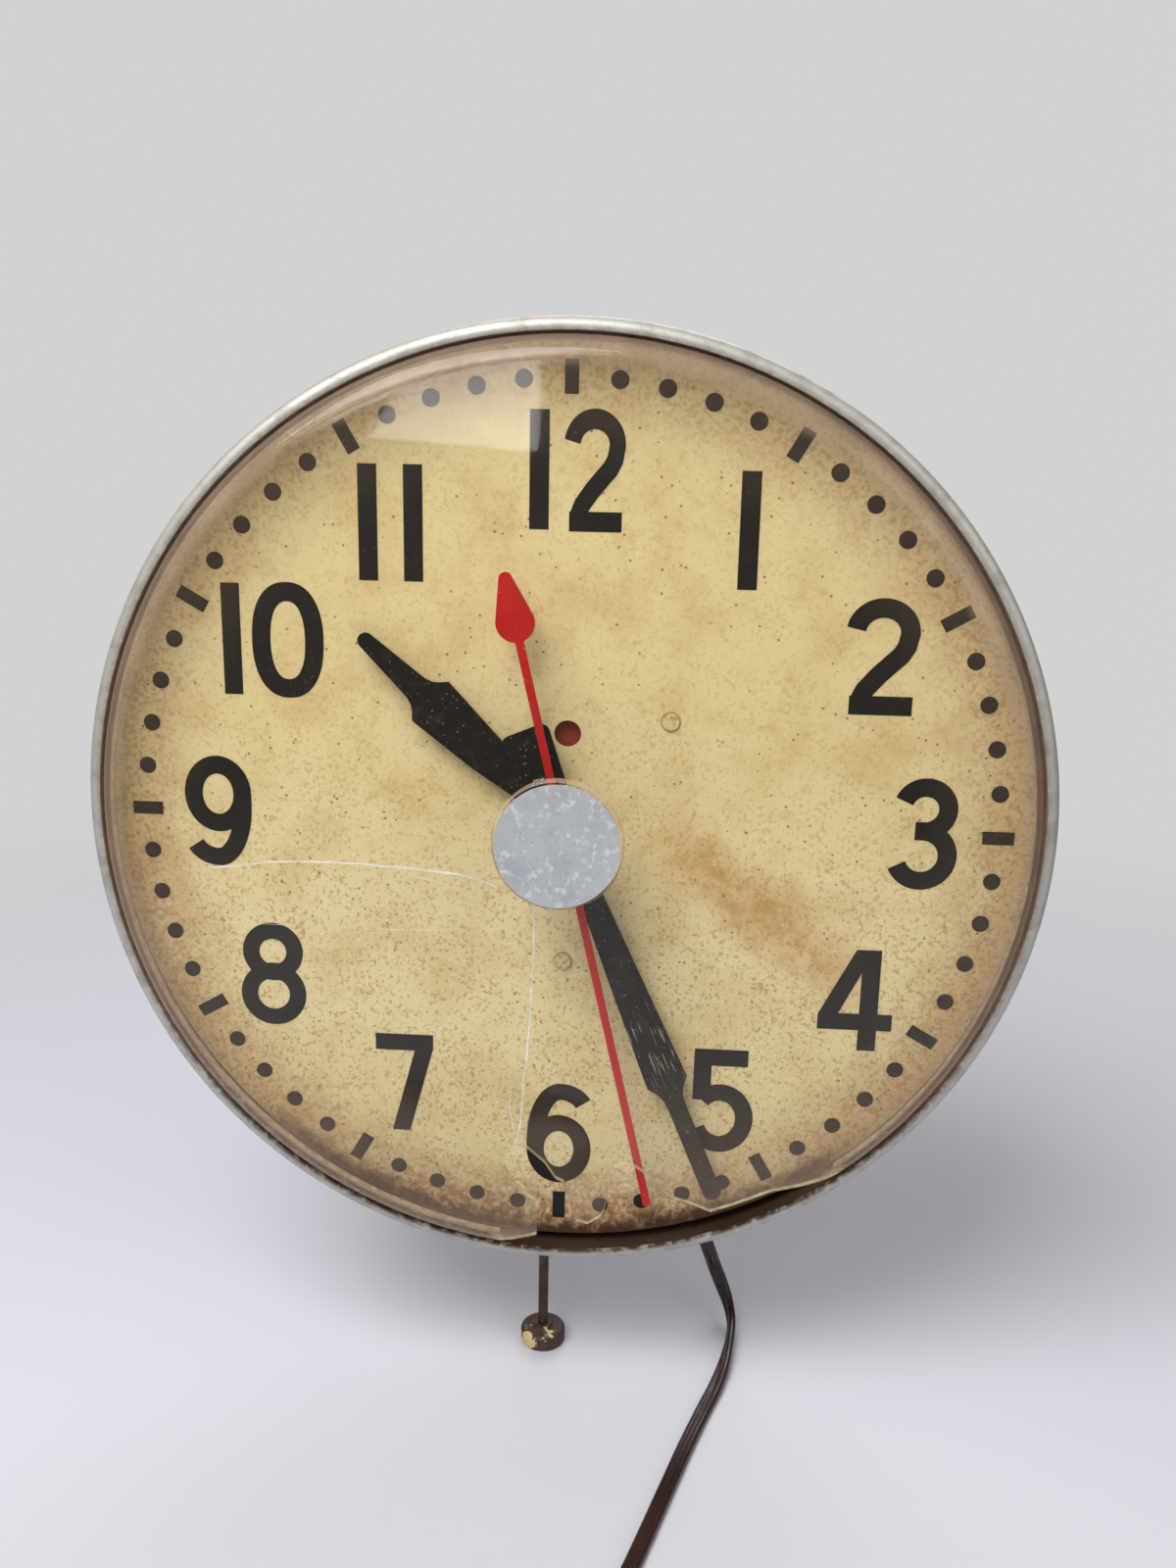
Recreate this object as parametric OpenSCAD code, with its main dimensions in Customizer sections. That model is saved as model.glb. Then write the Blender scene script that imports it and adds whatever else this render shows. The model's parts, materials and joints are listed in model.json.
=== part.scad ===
// Round electric wall clock: a spun metal case with a rolled front band, a clear domed crystal,
// a printed dial, three hands, a synchronous motor movement, a set stem that hangs out below the
// case, and a flat mains cord. The keyhole in the hanger plate is the origin: X runs to the right,
// Y runs back into the wall and Z runs up. Pieces are drawn in the dial's own frame: x to the
// right, y up the dial and z out through the crystal, with zero on the dial's front face.

/* [Case] */
// Outer radius of the case's side wall
case_r = 169.5; // [140:0.5:206]
// Thickness of the spun sheet
case_wall = 1.2; // [0.8:0.1:2]
// Depth from the dial's front face to the case's back
case_depth = 55; // [54:0.5:70]
// How far the side wall stands in front of the dial's face
case_lip = 3.5; // [2:0.5:6]
// Radius of the case's rear corner
back_round = 8; // [3:0.5:12]
// Number of vent holes in the back
vent_count = 10; // [4:1:14]
// Radius of a vent hole
vent_r = 4; // [2:0.5:6]
// Radius of the ring that the vent holes sit on
vent_ring_r = 96; // [84:1:100]

/* [Front band and crystal] */
// Thickness of the rolled front band
band_wall = 1.2; // [0.8:0.1:1.6]
// How far the band reaches back over the side wall
band_skirt = 14; // [8:1:24]
// Radius of the band's rolled edge
band_roll = 3.7; // [3:0.1:5]
// Thickness of the crystal
crystal_wall = 2; // [1.5:0.1:3]
// Radius of the crystal's shoulder
shoulder_r = 10; // [8:0.2:12]
// Height of the dome above the top of the shoulder
dome_rise = 10; // [7:0.2:14]
// Radius of the round boss at the crystal's centre
boss_r = 22.4; // [16:0.2:30]
// Height of the boss above the dome
boss_rise = 5.4; // [3:0.2:8]
// Radius of the metal disc on the boss
hub_disc_r = 21.3; // [14:0.1:28]
// Thickness of that disc
hub_disc_wall = 1; // [0.6:0.1:1.6]

/* [Dial] */
// Thickness of the dial plate
dial_wall = 1; // [0.6:0.1:1.6]
// Gap between the dial's edge and the inside of the case
dial_gap = 3.8; // [0.5:0.1:5]
// Radius of the dial's centre hole
dial_hole_r = 5; // [4.2:0.1:7]
// Radius of the ring that the dial screws sit on
screw_ring_r = 52.6; // [50:0.2:56]
// Radius of a dial screw's head
screw_head_r = 3; // [2.6:0.1:4]
// Radius of the indicator window
window_r = 4.75; // [3:0.25:6]
// Height of the indicator window above the dial's centre
window_up = 32.4; // [28:0.2:36]

/* [Hands] */
// Length of the hour hand, from the centre to its tip
hour_len = 97.3; // [80:0.1:120]
// Length of the minute hand
minute_len = 153.5; // [120:0.5:156]
// Length of the minute hand's tail
minute_tail = 37.5; // [25:0.5:45]
// Length of the seconds hand
second_len = 147.9; // [115:0.1:152]
// Length of the seconds hand's counterweight end
second_tail = 91.3; // [60:0.1:110]
// Thickness of the hour and minute hands
hand_wall = 1; // [0.5:0.1:1.4]
// Height of the hour hand above the dial
hour_up = 4.5; // [4.5:0.1:5]
// Clear height between one hand and the next
hand_step = 2; // [1.6:0.1:2.2]

/* [Movement] */
// Radius of the seconds arbor
arbor_r = 1; // [0.8:0.05:1.2]
// Wall of the minute tube and of the hour tube
tube_wall = 1.15; // [1:0.05:1.3]
// Radial clearance of a shaft in its bearing
run_fit = 0.06; // [0.03:0.01:0.1]
// Thickness of a movement plate
plate_wall = 1.5; // [1:0.1:1.6]
// Module of the motion work's first pair
cannon_module = 0.8; // [0.8:0.01:0.82]
// Thickness of the field's laminated stack
stack_h = 6.5; // [5:0.5:7]
// Radius of the rotor can's wide part
rotor_can_r = 19; // [16:0.5:20]

/* [Set stem] */
// Radius of the set stem
stem_r = 2; // [1.6:0.1:2.4]
// Distance of the stem to the left of the dial's centre
stem_left = 7.5; // [7:0.1:8]
// Length of stem that shows between the case and the knob
stem_reach = 53.2; // [20:0.2:53.2]
// Radius of the knob
knob_r = 9.1; // [6:0.1:12]
// Height of the knob
knob_h = 6.5; // [5:0.5:6.5]

/* [Hanger and cord] */
// Distance of the hanger's keyhole above the dial's centre
hang_up = 120; // [110:1:125]
// Radius of the keyhole's round mouth
keyhole_r = 5; // [4:0.25:6]
// Thickness of the hanger plate
hanger_wall = 1.5; // [1:0.1:2]
// Width of the flat cord
cord_w = 6; // [5:0.1:7]
// Thickness of the flat cord
cord_t = 3; // [2.4:0.1:3.6]

/* [Hidden] */
$fn = 64;
touch = 0.01;
eps = 0.5;

// Case, band and crystal, worked out from the case's radius
case_in_r = case_r - case_wall;
band_r = case_r + band_wall;
dial_r = case_in_r - dial_gap;
back_z = -case_depth;
flange_r = case_r - 0.5;
flange_top = case_lip + crystal_wall;
gasket_h = band_roll - band_wall - 0.1;
shoulder_out_r = band_r - band_roll - 1.7;
shoulder_mid_r = shoulder_out_r - shoulder_r;
dome_edge_z = flange_top + shoulder_r;
dome_big_r = (shoulder_mid_r * shoulder_mid_r + dome_rise * dome_rise) / (2 * dome_rise);
dome_top_z = dome_edge_z + dome_rise;
boss_top_z = dome_top_z + boss_rise;

// Hands
minute_up = hour_up + hand_wall + hand_step;
second_up = minute_up + hand_wall + hand_step;
second_hand_wall = 0.8;
hour_clock_deg = 312.5;
minute_clock_deg = 157.3;
second_clock_deg = 166.7;

// Tubes that turn on each other at the centre
minute_bore_r = arbor_r + run_fit;
minute_tube_r = minute_bore_r + tube_wall;
hour_bore_r = minute_tube_r + run_fit;
hour_tube_r = hour_bore_r + tube_wall;

// Movement, in order from the dial backwards
front_plate_z = -12;
front_plate_face = front_plate_z + plate_wall;
rear_plate_z = -30;
rear_plate_face = rear_plate_z + plate_wall;
arbor_back_z = rear_plate_z + 0.2;
can_back_z = -38;
bell_back_z = -48;
stack_back_z = -46.5;

// Tooth counts
second_pinion_teeth = 8;
third_teeth = 60;
third_pinion_teeth = 8;
minute_teeth = 64;
second_teeth = 36;
rotor_teeth = 10;
cannon_teeth = 12;
motion_teeth = 36;
motion_pinion_teeth = 10;
hour_teeth = 40;
crown_teeth = 24;
set_pinion_teeth = 10;

// Modules: each pair on the same two centres shares one distance
third_distance = 18;
third_module = 2 * third_distance / (second_pinion_teeth + third_teeth);
minute_module = 2 * third_distance / (third_pinion_teeth + minute_teeth);
third_deg = 20;
rotor_module = 0.6;
rotor_distance = rotor_module * (second_teeth + rotor_teeth) / 2;
rotor_y = rotor_distance;
motion_distance = cannon_module * (cannon_teeth + motion_teeth) / 2;
hour_module = 2 * motion_distance / (motion_pinion_teeth + hour_teeth);
motion_x = -stem_left;
motion_y = -sqrt(motion_distance * motion_distance - motion_x * motion_x);
motion_deg = atan2(motion_y, motion_x);
motion_arbor_r = 1.5;

// Crown wheel and set pinion
set_module = 0.7;
crown_r = set_module * crown_teeth / 2;
crown_face_z = -18.2;
crown_tooth_h = 1.4;
set_pinion_r = set_module * set_pinion_teeth / 2;
stem_z = crown_face_z - 0.8 - set_pinion_r;
set_pinion_y = motion_y - crown_r;
set_pinion_len = 4;
stem_top_y = set_pinion_y + set_pinion_len / 2 + 0.6;
case_bottom_y = -sqrt(case_r * case_r - stem_left * stem_left);
knob_top_y = case_bottom_y - stem_reach;

// Keyhole and rivets of the wall hanger
slot_r = 2.3;
slot_len = 12;
rivet_r = 1.6;
hanger_face = back_z + case_wall;

// Bushing that the set stem leaves the case through, and the strain relief's neck
bushing_r = stem_r + 2.4;
relief_neck_r = 4.9;

// Screws round the dial's centre, and the pillars between the plates
screw_degs = [46, 134, 270];
screw_r = 1.5;
post_r = 4;
spacer_r = 3.5;
pillar_places = [[28, -30], [-28, -30], [28, 42], [-28, 42]];
pillar_r = 3;

// Field core, coil and rotor
bell_r = 11.5;
core_bore_r = bell_r + 0.6;
core_half_w = 29;
core_low_y = rotor_y - 16;
window_low_y = rotor_y + 18;
window_high_y = window_low_y + 15;
core_high_y = window_high_y + 11;
core_window_half_w = 17;
coil_half_w = 14;
coil_wrap = 5;

// Indicator flag
flag_x = 0.5;
flag_pivot_y = 50;
flag_z = -3.6;
flag_wall = 0.5;

// Route of the flat cord in the dial's frame, with its roll in degrees: 0 lies flat
cord_exit_deg = -72.7;
cord_exit_z = -38;
relief_len = 24;
floor_y = -229;
cord_route = [
    [57.4, -184.6, -38, 0], [59.1, -190, -38.8, 0], [61.1, -197, -41.5, 5],
    [62.6, -203, -45, 15], [64.3, -208.5, -46.8, 30], [66.9, -214.5, -45.5, 55],
    [69.6, -220, -41.5, 75], [71, -224, -35, 80], [70.4, -225.5, -27, 75],
    [68.8, -226, -18, 60], [66.6, -226.5, -8, 35], [62.9, -227.2, 4, 12],
    [58.3, -227.5, 16, 0], [51.1, -227.5, 36, 0], [44.5, -227.5, 56, 0],
    [37.9, -227.5, 76, 0], [31.5, -227.5, 95, 0], [25.5, -227.5, 112, 0],
    [20.5, -227.5, 128, 0], [16, -227.5, 146, 0]
];
coil_x = -20;
coil_z = 150;
coil_mid_r = 33;
coil_turns_across = 2;
coil_layers = 4;
tie_gap = 0.1;
tail_route = [
    [-18, -218.8, 185.5, 0], [-28, -219, 186, 0], [-38, -220.5, 186, 0], [-48, -222.2, 186, 0],
    [-56, -223, 186, 0], [-64, -223, 186, 0]
];
plug_x = -76;
plug_y = -223;
plug_z = 186;
plug_neck = 14;
plug_len = 24;
plug_w = 22;
plug_h = 12;
blade_len = 17;
blade_root = 6;
blade_w = 6.3;
blade_t = 1.5;
blade_space = 12.7;

// Places a piece drawn in the dial's frame into the clock's own frame
module in_dial() {
    translate([0, -case_depth, -hang_up])
        rotate([90, 0, 0])
            children();
}

// Turns a piece drawn upright to a place on the clock face
module at_clock(degrees) {
    rotate([0, 0, -degrees])
        children();
}

module at_dial_screws() {
    for (a = screw_degs)
        rotate([0, 0, a])
            translate([screw_ring_r, 0, 0])
                children();
}

// A disc or rod along z from one height to another
module rod(low, high, radius) {
    translate([0, 0, low])
        cylinder(h = high - low, r = radius);
}

// A tube along z
module pipe(low, high, radius, bore) {
    difference() {
        rod(low, high, radius);
        rod(low - eps, high + eps, bore);
    }
}

function polar(r, a) = [r * cos(a), r * sin(a)];

// Outline of a spur gear with a tooth centred on the x axis
function gear_outline(teeth, size) = [
    for (k = [0:teeth - 1])
        for (p = [[-1.1, -0.6], [0, -0.44], [0.85, -0.2], [0.85, 0.2], [0, 0.44], [-1.1, 0.6]])
            polar(size * (teeth / 2 + p[0]), (k * 2 + p[1]) * 180 / teeth)
];

// A spur gear between two heights; start is the direction of one tooth
module gear(teeth, size, low, high, bore, start = 0) {
    translate([0, 0, low])
        linear_extrude(high - low)
            difference() {
                rotate([0, 0, start])
                    polygon(gear_outline(teeth, size));
                circle(r = bore);
            }
}

// Round holes that lighten a wheel
module crossings(count, ring_r, hole_r, low, high) {
    for (k = [0:count - 1])
        rotate([0, 0, (k + 0.5) * 360 / count])
            translate([ring_r, 0, 0])
                rod(low - eps, high + eps, hole_r);
}

// Smooth curve through a list of points, several rings to a span
function curve_point(a, b, c, d, t) =
    0.5 * (2 * b + (c - a) * t + (2 * a - 5 * b + 4 * c - d) * t * t
        + (3 * b - a - 3 * c + d) * t * t * t);
function curve(route, steps) = concat(
    [for (i = [0:len(route) - 2])
        for (s = [0:steps - 1])
            curve_point(route[max(i - 1, 0)], route[i], route[i + 1],
                route[min(i + 2, len(route) - 1)], s / steps)],
    [route[len(route) - 1]]);

function place_of(p) = [p[0], p[1], p[2]];
function unit(v) = v / norm(v);
function heading(rings, i) =
    unit(place_of(rings[min(i + 1, len(rings) - 1)]) - place_of(rings[max(i - 1, 0)]));

// The wide direction of a flat section: level, then lifted by its roll, and square to the route
function wide_way(along, roll, level) =
    let (aim = level * cos(roll) + [0, 1, 0] * sin(roll))
    unit(aim - along * (aim * along));

// A tube of oval section swept along a route
module swept(route, steps, half_w, half_t, sides, level) {
    rings = curve(route, steps);
    count = len(rings);
    skin = [
        for (i = [0:count - 1])
            let (along = heading(rings, i), wide = wide_way(along, rings[i][3], level),
                thin = cross(along, wide))
            for (k = [0:sides - 1])
                place_of(rings[i]) + wide * half_w * cos(k * 360 / sides)
                    + thin * half_t * sin(k * 360 / sides)
    ];
    walls = [
        for (i = [0:count - 2])
            for (k = [0:sides - 1])
                let (next = (k + 1) % sides)
                [i * sides + k, (i + 1) * sides + k, (i + 1) * sides + next, i * sides + next]
    ];
    first = [for (k = [0:sides - 1]) k];
    last = [for (k = [0:sides - 1]) (count - 1) * sides + sides - 1 - k];
    polyhedron(points = skin, faces = concat([first], walls, [last]));
}

// ---- Case ----

module case_pan() {
    color("silver") in_dial() difference() {
        rotate_extrude()
            difference() {
                pan_outline(case_r, back_z, back_round, case_lip);
                pan_outline(case_in_r, back_z + case_wall, back_round - case_wall, case_lip + eps);
            }
        keyhole(back_z, case_wall);
        at_hanger_rivets()
            rod(back_z - eps, back_z + case_wall + eps, rivet_r);
        for (k = [0:vent_count - 1])
            rotate([0, 0, 270 + (k + 0.5) * 360 / vent_count])
                translate([vent_ring_r, 0, 0])
                    rod(back_z - eps, back_z + case_wall + eps, vent_r);
        at_dial_screws()
            rod(back_z - eps, back_z + case_wall + eps, screw_r);
        at_stem()
            rod(-case_r - eps, -case_r + 8, bushing_r);
        at_cord_exit()
            rod(case_in_r - 4, case_r + eps, relief_neck_r);
    }
}

// Half section of the pan: radius to the right, height up, with a round rear corner
module pan_outline(radius, low, corner, top) {
    translate([0, low + corner])
        square([radius, top - low - corner]);
    translate([0, low])
        square([radius - corner, corner + touch]);
    intersection() {
        translate([radius - corner, low + corner])
            circle(r = corner);
        translate([radius - corner - touch, low])
            square([corner + touch, corner + touch]);
    }
}

// Keyhole: a round mouth for a screw's head, with a narrow slot above it for the screw's neck
module keyhole(low, thickness) {
    translate([0, hang_up, 0])
        rod(low - eps, low + thickness + eps, keyhole_r);
    translate([-slot_r, hang_up, low - eps])
        cube([2 * slot_r, slot_len, thickness + 2 * eps]);
    translate([0, hang_up + slot_len, 0])
        rod(low - eps, low + thickness + eps, slot_r);
}

module at_cord_exit() {
    translate([0, 0, cord_exit_z])
        rotate([0, 0, cord_exit_deg])
            rotate([0, 90, 0])
                children();
}

module front_band() {
    color("gainsboro") in_dial() rotate_extrude()
        difference() {
            union() {
                translate([case_r, -band_skirt])
                    square([band_wall, band_skirt + flange_top]);
                translate([band_r - band_roll, flange_top])
                    intersection() {
                        circle(r = band_roll);
                        translate([-0.9, 0])
                            square([band_roll + 1, band_roll + 1]);
                    }
            }
            translate([band_r - band_roll, flange_top])
                circle(r = band_roll - band_wall);
        }
}

module band_clip() {
    color("gainsboro") in_dial() intersection() {
        rotate_extrude()
            translate([band_r, -band_skirt + 2])
                square([0.8, band_skirt + 2]);
        translate([6 - 13, -band_r - 4, -band_skirt])
            cube([26, 12, band_skirt * 2 + 4]);
    }
}

module crystal_gasket() {
    color("saddlebrown") in_dial() rotate_extrude()
        translate([band_r - band_roll - 0.9, flange_top])
            square([2.2, gasket_h - 0.3]);
}

// ---- Crystal ----

// Height of the crystal's outer face at a radius, on the dome and round the shoulder
function dome_z(r) = dome_top_z - dome_big_r + sqrt(dome_big_r * dome_big_r - r * r);
function crystal_face(thin) = concat(
    [for (a = [0:10:80])
        [shoulder_mid_r + (shoulder_r - thin) * cos(a), flange_top + (shoulder_r - thin) * sin(a)]],
    [for (k = [1:10])
        let (r = shoulder_mid_r * (1 - k / 10)) [r, dome_z(r) - thin]]);

module crystal() {
    color("lightcyan", 0.4) in_dial() difference() {
        rotate_extrude()
            difference() {
                union() {
                    polygon(concat([[0, case_lip], [flange_r, case_lip], [flange_r, flange_top],
                        [shoulder_out_r, flange_top]], crystal_face(0)));
                    square([boss_r, boss_top_z]);
                }
                translate([0, -1])
                    polygon(concat([[0, 0], [shoulder_out_r - crystal_wall, 0]],
                        [for (p = crystal_face(crystal_wall)) p + [0, 1]]));
                square([boss_r - crystal_wall, boss_top_z - crystal_wall]);
            }
        translate([0, 0, case_lip - 1])
            linear_extrude(boss_top_z)
                intersection() {
                    break_out();
                    circle(r = shoulder_out_r + 0.8);
                }
    }
}

// The piece that has broken away along the crystal's lower edge
module break_out() {
    polygon([
        [-33, -165], [-7, -156], [-8, -141], [-13.5, -136], [-19, -126], [-15, -117],
        [-10, -118.5], [-4, -124], [0, -130.5], [3, -132], [5, -139], [8, -149], [12, -150],
        [17, -146.5], [19.5, -138], [19, -130.5], [22, -124], [26.5, -123], [30, -124.5],
        [34.5, -128], [40, -135], [49.5, -139], [57.5, -142.5], [79, -133], [106, -126],
        [140, -160], [60, -200], [-40, -200]
    ]);
}

module hub_disc() {
    color("lightsteelblue") in_dial()
        rod(boss_top_z, boss_top_z + hub_disc_wall, hub_disc_r);
}

// ---- Dial ----

module dial_plate() {
    color("wheat") in_dial() difference() {
        rod(-dial_wall, 0, dial_r);
        rod(-dial_wall - eps, eps, dial_hole_r);
        translate([flag_x, window_up, 0])
            rod(-dial_wall - eps, eps, window_r);
        at_dial_screws()
            rod(-dial_wall - eps, eps, screw_r + 0.2);
    }
}

module dial_screws() {
    color("wheat") in_dial() at_dial_screws() {
        rod(-dial_wall - 5, 0, screw_r);
        rod(0, 0.9, screw_head_r);
    }
}

module dial_spacers() {
    color("darkgoldenrod") in_dial() at_dial_screws()
        pipe(front_plate_face, -dial_wall, spacer_r, screw_r);
}

module case_posts() {
    color("silver") in_dial() at_dial_screws()
        pipe(back_z + case_wall, front_plate_z, post_r, screw_r);
}

module case_screws() {
    color("dimgray") in_dial() at_dial_screws() {
        rod(back_z, back_z + 14, screw_r);
        rod(back_z - 1.6, back_z, screw_head_r + 0.5);
    }
}

// ---- Hands, drawn pointing to twelve ----

function mirrored(side) = concat(side, [for (k = [len(side) - 1:-1:0]) [-side[k][0], side[k][1]]]);

module hand_blade(side, low) {
    translate([0, 0, low])
        linear_extrude(hand_wall)
            polygon(mirrored(side));
}

module hour_hand() {
    tip_r = 2.8;
    neck = hour_len - 26;
    color("black") in_dial() at_clock(hour_clock_deg) difference() {
        union() {
            hand_blade([[4.2, 6], [9.6, neck - 7.3], [7.4, neck - 5.3], [6, neck - 3], [4.7, neck],
                [tip_r, hour_len - tip_r]], hour_up);
            translate([0, hour_len - tip_r, 0])
                rod(hour_up, hour_up + hand_wall, tip_r);
            rod(hour_up, hour_up + hand_wall, 8);
            rod(hour_up - 1.5, hour_up + hand_wall, hour_tube_r + 1);
        }
        rod(0, hour_up + 3, hour_tube_r);
    }
}

module minute_hand() {
    tip_r = 3.4;
    neck = minute_len - 40;
    color("black") in_dial() at_clock(minute_clock_deg) difference() {
        union() {
            hand_blade([[3.7, 6], [7.8, neck - 10.5], [5.6, neck - 7.5], [4.2, neck - 4], [3.5, neck],
                [tip_r, minute_len - tip_r]], minute_up);
            translate([0, minute_len - tip_r, 0])
                rod(minute_up, minute_up + hand_wall, tip_r);
            rod(minute_up, minute_up + hand_wall, 8);
            rod(minute_up - 1.5, minute_up + hand_wall, minute_tube_r + 1);
            hand_blade([[6, -4], [8.7, 3 - minute_tail], [8, 1 - minute_tail],
                [6, -minute_tail]], minute_up);
        }
        rod(0, minute_up + 3, minute_tube_r);
    }
}

module second_hand() {
    drop_r = 6.8;
    drop_y = drop_r - second_tail + 17;
    color("firebrick") in_dial() at_clock(second_clock_deg) difference() {
        union() {
            translate([0, 0, second_up])
                linear_extrude(second_hand_wall)
                    polygon(mirrored([[1.6, drop_y], [1.35, 10], [1.45, second_len]]));
            translate([0, drop_y, 0])
                rod(second_up, second_up + second_hand_wall, drop_r);
            translate([0, 0, second_up])
                linear_extrude(second_hand_wall)
                    polygon(mirrored([[drop_r * 0.93, drop_y - drop_r * 0.35],
                        [2, 1.5 - second_tail]]));
            translate([0, 2.2 - second_tail, 0])
                rod(second_up, second_up + second_hand_wall, 2.2);
            rod(second_up, second_up + second_hand_wall, 5);
            rod(second_up - 0.8, second_up + 1.6, arbor_r + 1.4);
        }
        rod(0, second_up + 3, arbor_r);
    }
}

// ---- Plates and pillars ----

module front_plate() {
    color("goldenrod") in_dial() difference() {
        translate([0, 0, front_plate_z])
            linear_extrude(plate_wall)
                polygon([[-44, 58], [44, 58], [44, 26], [36, -40], [9, -60], [-9, -60], [-36, -40],
                    [-44, 26]]);
        rod(front_plate_z - eps, front_plate_face + eps, minute_tube_r + run_fit);
        at_dial_screws()
            rod(front_plate_z - eps, front_plate_face + eps, screw_r);
        at_third()
            rod(front_plate_z - eps, front_plate_face + eps, arbor_r + run_fit);
        translate([motion_x, motion_y, 0])
            rod(front_plate_z - eps, front_plate_face + eps, motion_arbor_r + run_fit);
        translate([flag_x, flag_pivot_y, 0])
            rod(front_plate_z - eps, front_plate_face + eps, 0.9);
        at_pillars()
            rod(front_plate_z - eps, front_plate_face + eps, screw_r);
    }
}

module rear_plate() {
    color("goldenrod") in_dial() difference() {
        translate([-31, -36, rear_plate_z])
            cube([62, core_high_y + 40, plate_wall]);
        rod(rear_plate_z - eps, rear_plate_face + eps, arbor_r + run_fit);
        at_third()
            rod(rear_plate_z - eps, rear_plate_face + eps, arbor_r + run_fit);
        translate([motion_x, motion_y, 0])
            rod(rear_plate_z - eps, rear_plate_face + eps, motion_arbor_r + run_fit);
        translate([0, rotor_y, 0])
            rod(rear_plate_z - eps, rear_plate_face + eps, 4);
        at_pillars()
            rod(rear_plate_z - eps, rear_plate_face + eps, screw_r);
        at_field_posts()
            rod(rear_plate_z - eps, rear_plate_face + eps, screw_r);
    }
}

module at_third() {
    rotate([0, 0, third_deg])
        translate([third_distance, 0, 0])
            children();
}

module at_pillars() {
    for (p = pillar_places)
        translate([p[0], p[1], 0])
            children();
}

module plate_pillars() {
    color("gold") in_dial() at_pillars()
        pipe(rear_plate_face, front_plate_z, pillar_r, screw_r);
}

module plate_screws() {
    color("dimgray") in_dial() at_pillars() {
        rod(rear_plate_z, rear_plate_face + 6, screw_r);
        rod(rear_plate_z - 1.2, rear_plate_z, 2.6);
        rod(front_plate_z - 6, front_plate_face, screw_r);
        rod(front_plate_face, front_plate_face + 1.2, 2.6);
    }
}

// ---- Going train ----

module second_arbor() {
    color("lightgray") in_dial() {
        rod(arbor_back_z, second_up + 1.4, arbor_r);
        gear(second_pinion_teeth, third_module, -22.4, -18.6, arbor_r - touch, third_deg);
    }
}

module second_wheel() {
    color("khaki") in_dial() difference() {
        union() {
            gear(second_teeth, rotor_module, -25.2, -24, arbor_r, 90 + 180 / second_teeth);
            rod(-25.2, -22.8, 2.6);
        }
        rod(-26, -22, arbor_r);
        crossings(4, 6.6, 2, -25.2, -24);
    }
}

module rotor_can() {
    color("peru") in_dial() translate([0, rotor_y, 0]) difference() {
        union() {
            rod(can_back_z, rear_plate_z, rotor_can_r);
            rod(bell_back_z, can_back_z + touch, bell_r);
            rod(rear_plate_z - touch, rear_plate_face + 0.6, 3.8);
        }
        rod(can_back_z + 1.5, 0, arbor_r + run_fit);
    }
}

module rotor_pinion() {
    color("lightgray") in_dial() translate([0, rotor_y, 0]) {
        rod(can_back_z + 2, -23, arbor_r);
        gear(rotor_teeth, rotor_module, -26.6, -23, arbor_r - touch, -90);
    }
}

module third_arbor() {
    color("lightgray") in_dial() at_third() {
        rod(arbor_back_z, front_plate_face, arbor_r);
        gear(third_pinion_teeth, minute_module, -16, -12.6, arbor_r - touch, 180);
    }
}

module third_wheel() {
    color("khaki") in_dial() at_third() difference() {
        union() {
            gear(third_teeth, third_module, -21, -20, arbor_r, 180 + 180 / third_teeth);
            rod(-21, -17.6, 2.4);
        }
        rod(-22, -17, arbor_r);
        crossings(5, 9.5, 3.4, -21, -20);
    }
}

module minute_wheel() {
    color("khaki") in_dial() difference() {
        gear(minute_teeth, minute_module, -15, -13.9, minute_tube_r + run_fit,
            third_deg + 180 / minute_teeth);
        crossings(5, 9.5, 3.4, -15, -13.9);
    }
}

module clutch_spring() {
    color("darkkhaki") in_dial() difference() {
        translate([0, 0, -16.6])
            cylinder(h = 1.5, r1 = 3.6, r2 = 6.4);
        translate([0, 0, -16.6 - touch])
            cylinder(h = 1.1, r1 = 3, r2 = 5.2);
        rod(-18, -14, minute_tube_r);
    }
}

module minute_tube() {
    color("khaki") in_dial() difference() {
        union() {
            rod(-18.2, minute_up + hand_wall + 0.6, minute_tube_r);
            rod(-18.2, -16.6, 4.4);
            gear(cannon_teeth, cannon_module, -9.4, -6, minute_tube_r - touch, motion_deg);
        }
        rod(-19, minute_up + 3, minute_bore_r);
    }
}

// ---- Motion work ----

module motion_arbor() {
    color("lightgray") in_dial() translate([motion_x, motion_y, 0]) {
        rod(arbor_back_z, -2, motion_arbor_r);
        gear(motion_pinion_teeth, hour_module, -5.6, -2.6, motion_arbor_r - touch,
            motion_deg + 180);
    }
}

module motion_wheel() {
    color("khaki") in_dial() translate([motion_x, motion_y, 0]) difference() {
        gear(motion_teeth, cannon_module, -8.2, -7, motion_arbor_r,
            motion_deg + 180 + 180 / motion_teeth);
        crossings(4, 8.6, 3, -8.2, -7);
    }
}

module hour_wheel() {
    color("khaki") in_dial() difference() {
        union() {
            gear(hour_teeth, hour_module, -5, -3.8, hour_bore_r + touch,
                motion_deg + 180 / hour_teeth);
            rod(-5, hour_up + hand_wall, hour_tube_r);
        }
        rod(-6, hour_up + 3, hour_bore_r);
    }
}

module set_crown() {
    half_in = 0.32 * 180 / crown_teeth;
    color("khaki") in_dial() translate([motion_x, motion_y, 0]) {
        pipe(crown_face_z, crown_face_z + 1.5, crown_r + 1.4, motion_arbor_r);
        for (k = [0:crown_teeth - 1])
            rotate([0, 0, 270 + k * 360 / crown_teeth])
                translate([0, 0, crown_face_z - crown_tooth_h])
                    linear_extrude(crown_tooth_h + touch)
                        polygon([polar(crown_r - 1, -half_in), polar(crown_r + 1, -half_in),
                            polar(crown_r + 1, half_in), polar(crown_r - 1, half_in)]);
    }
}

// ---- Hand setting ----

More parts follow.
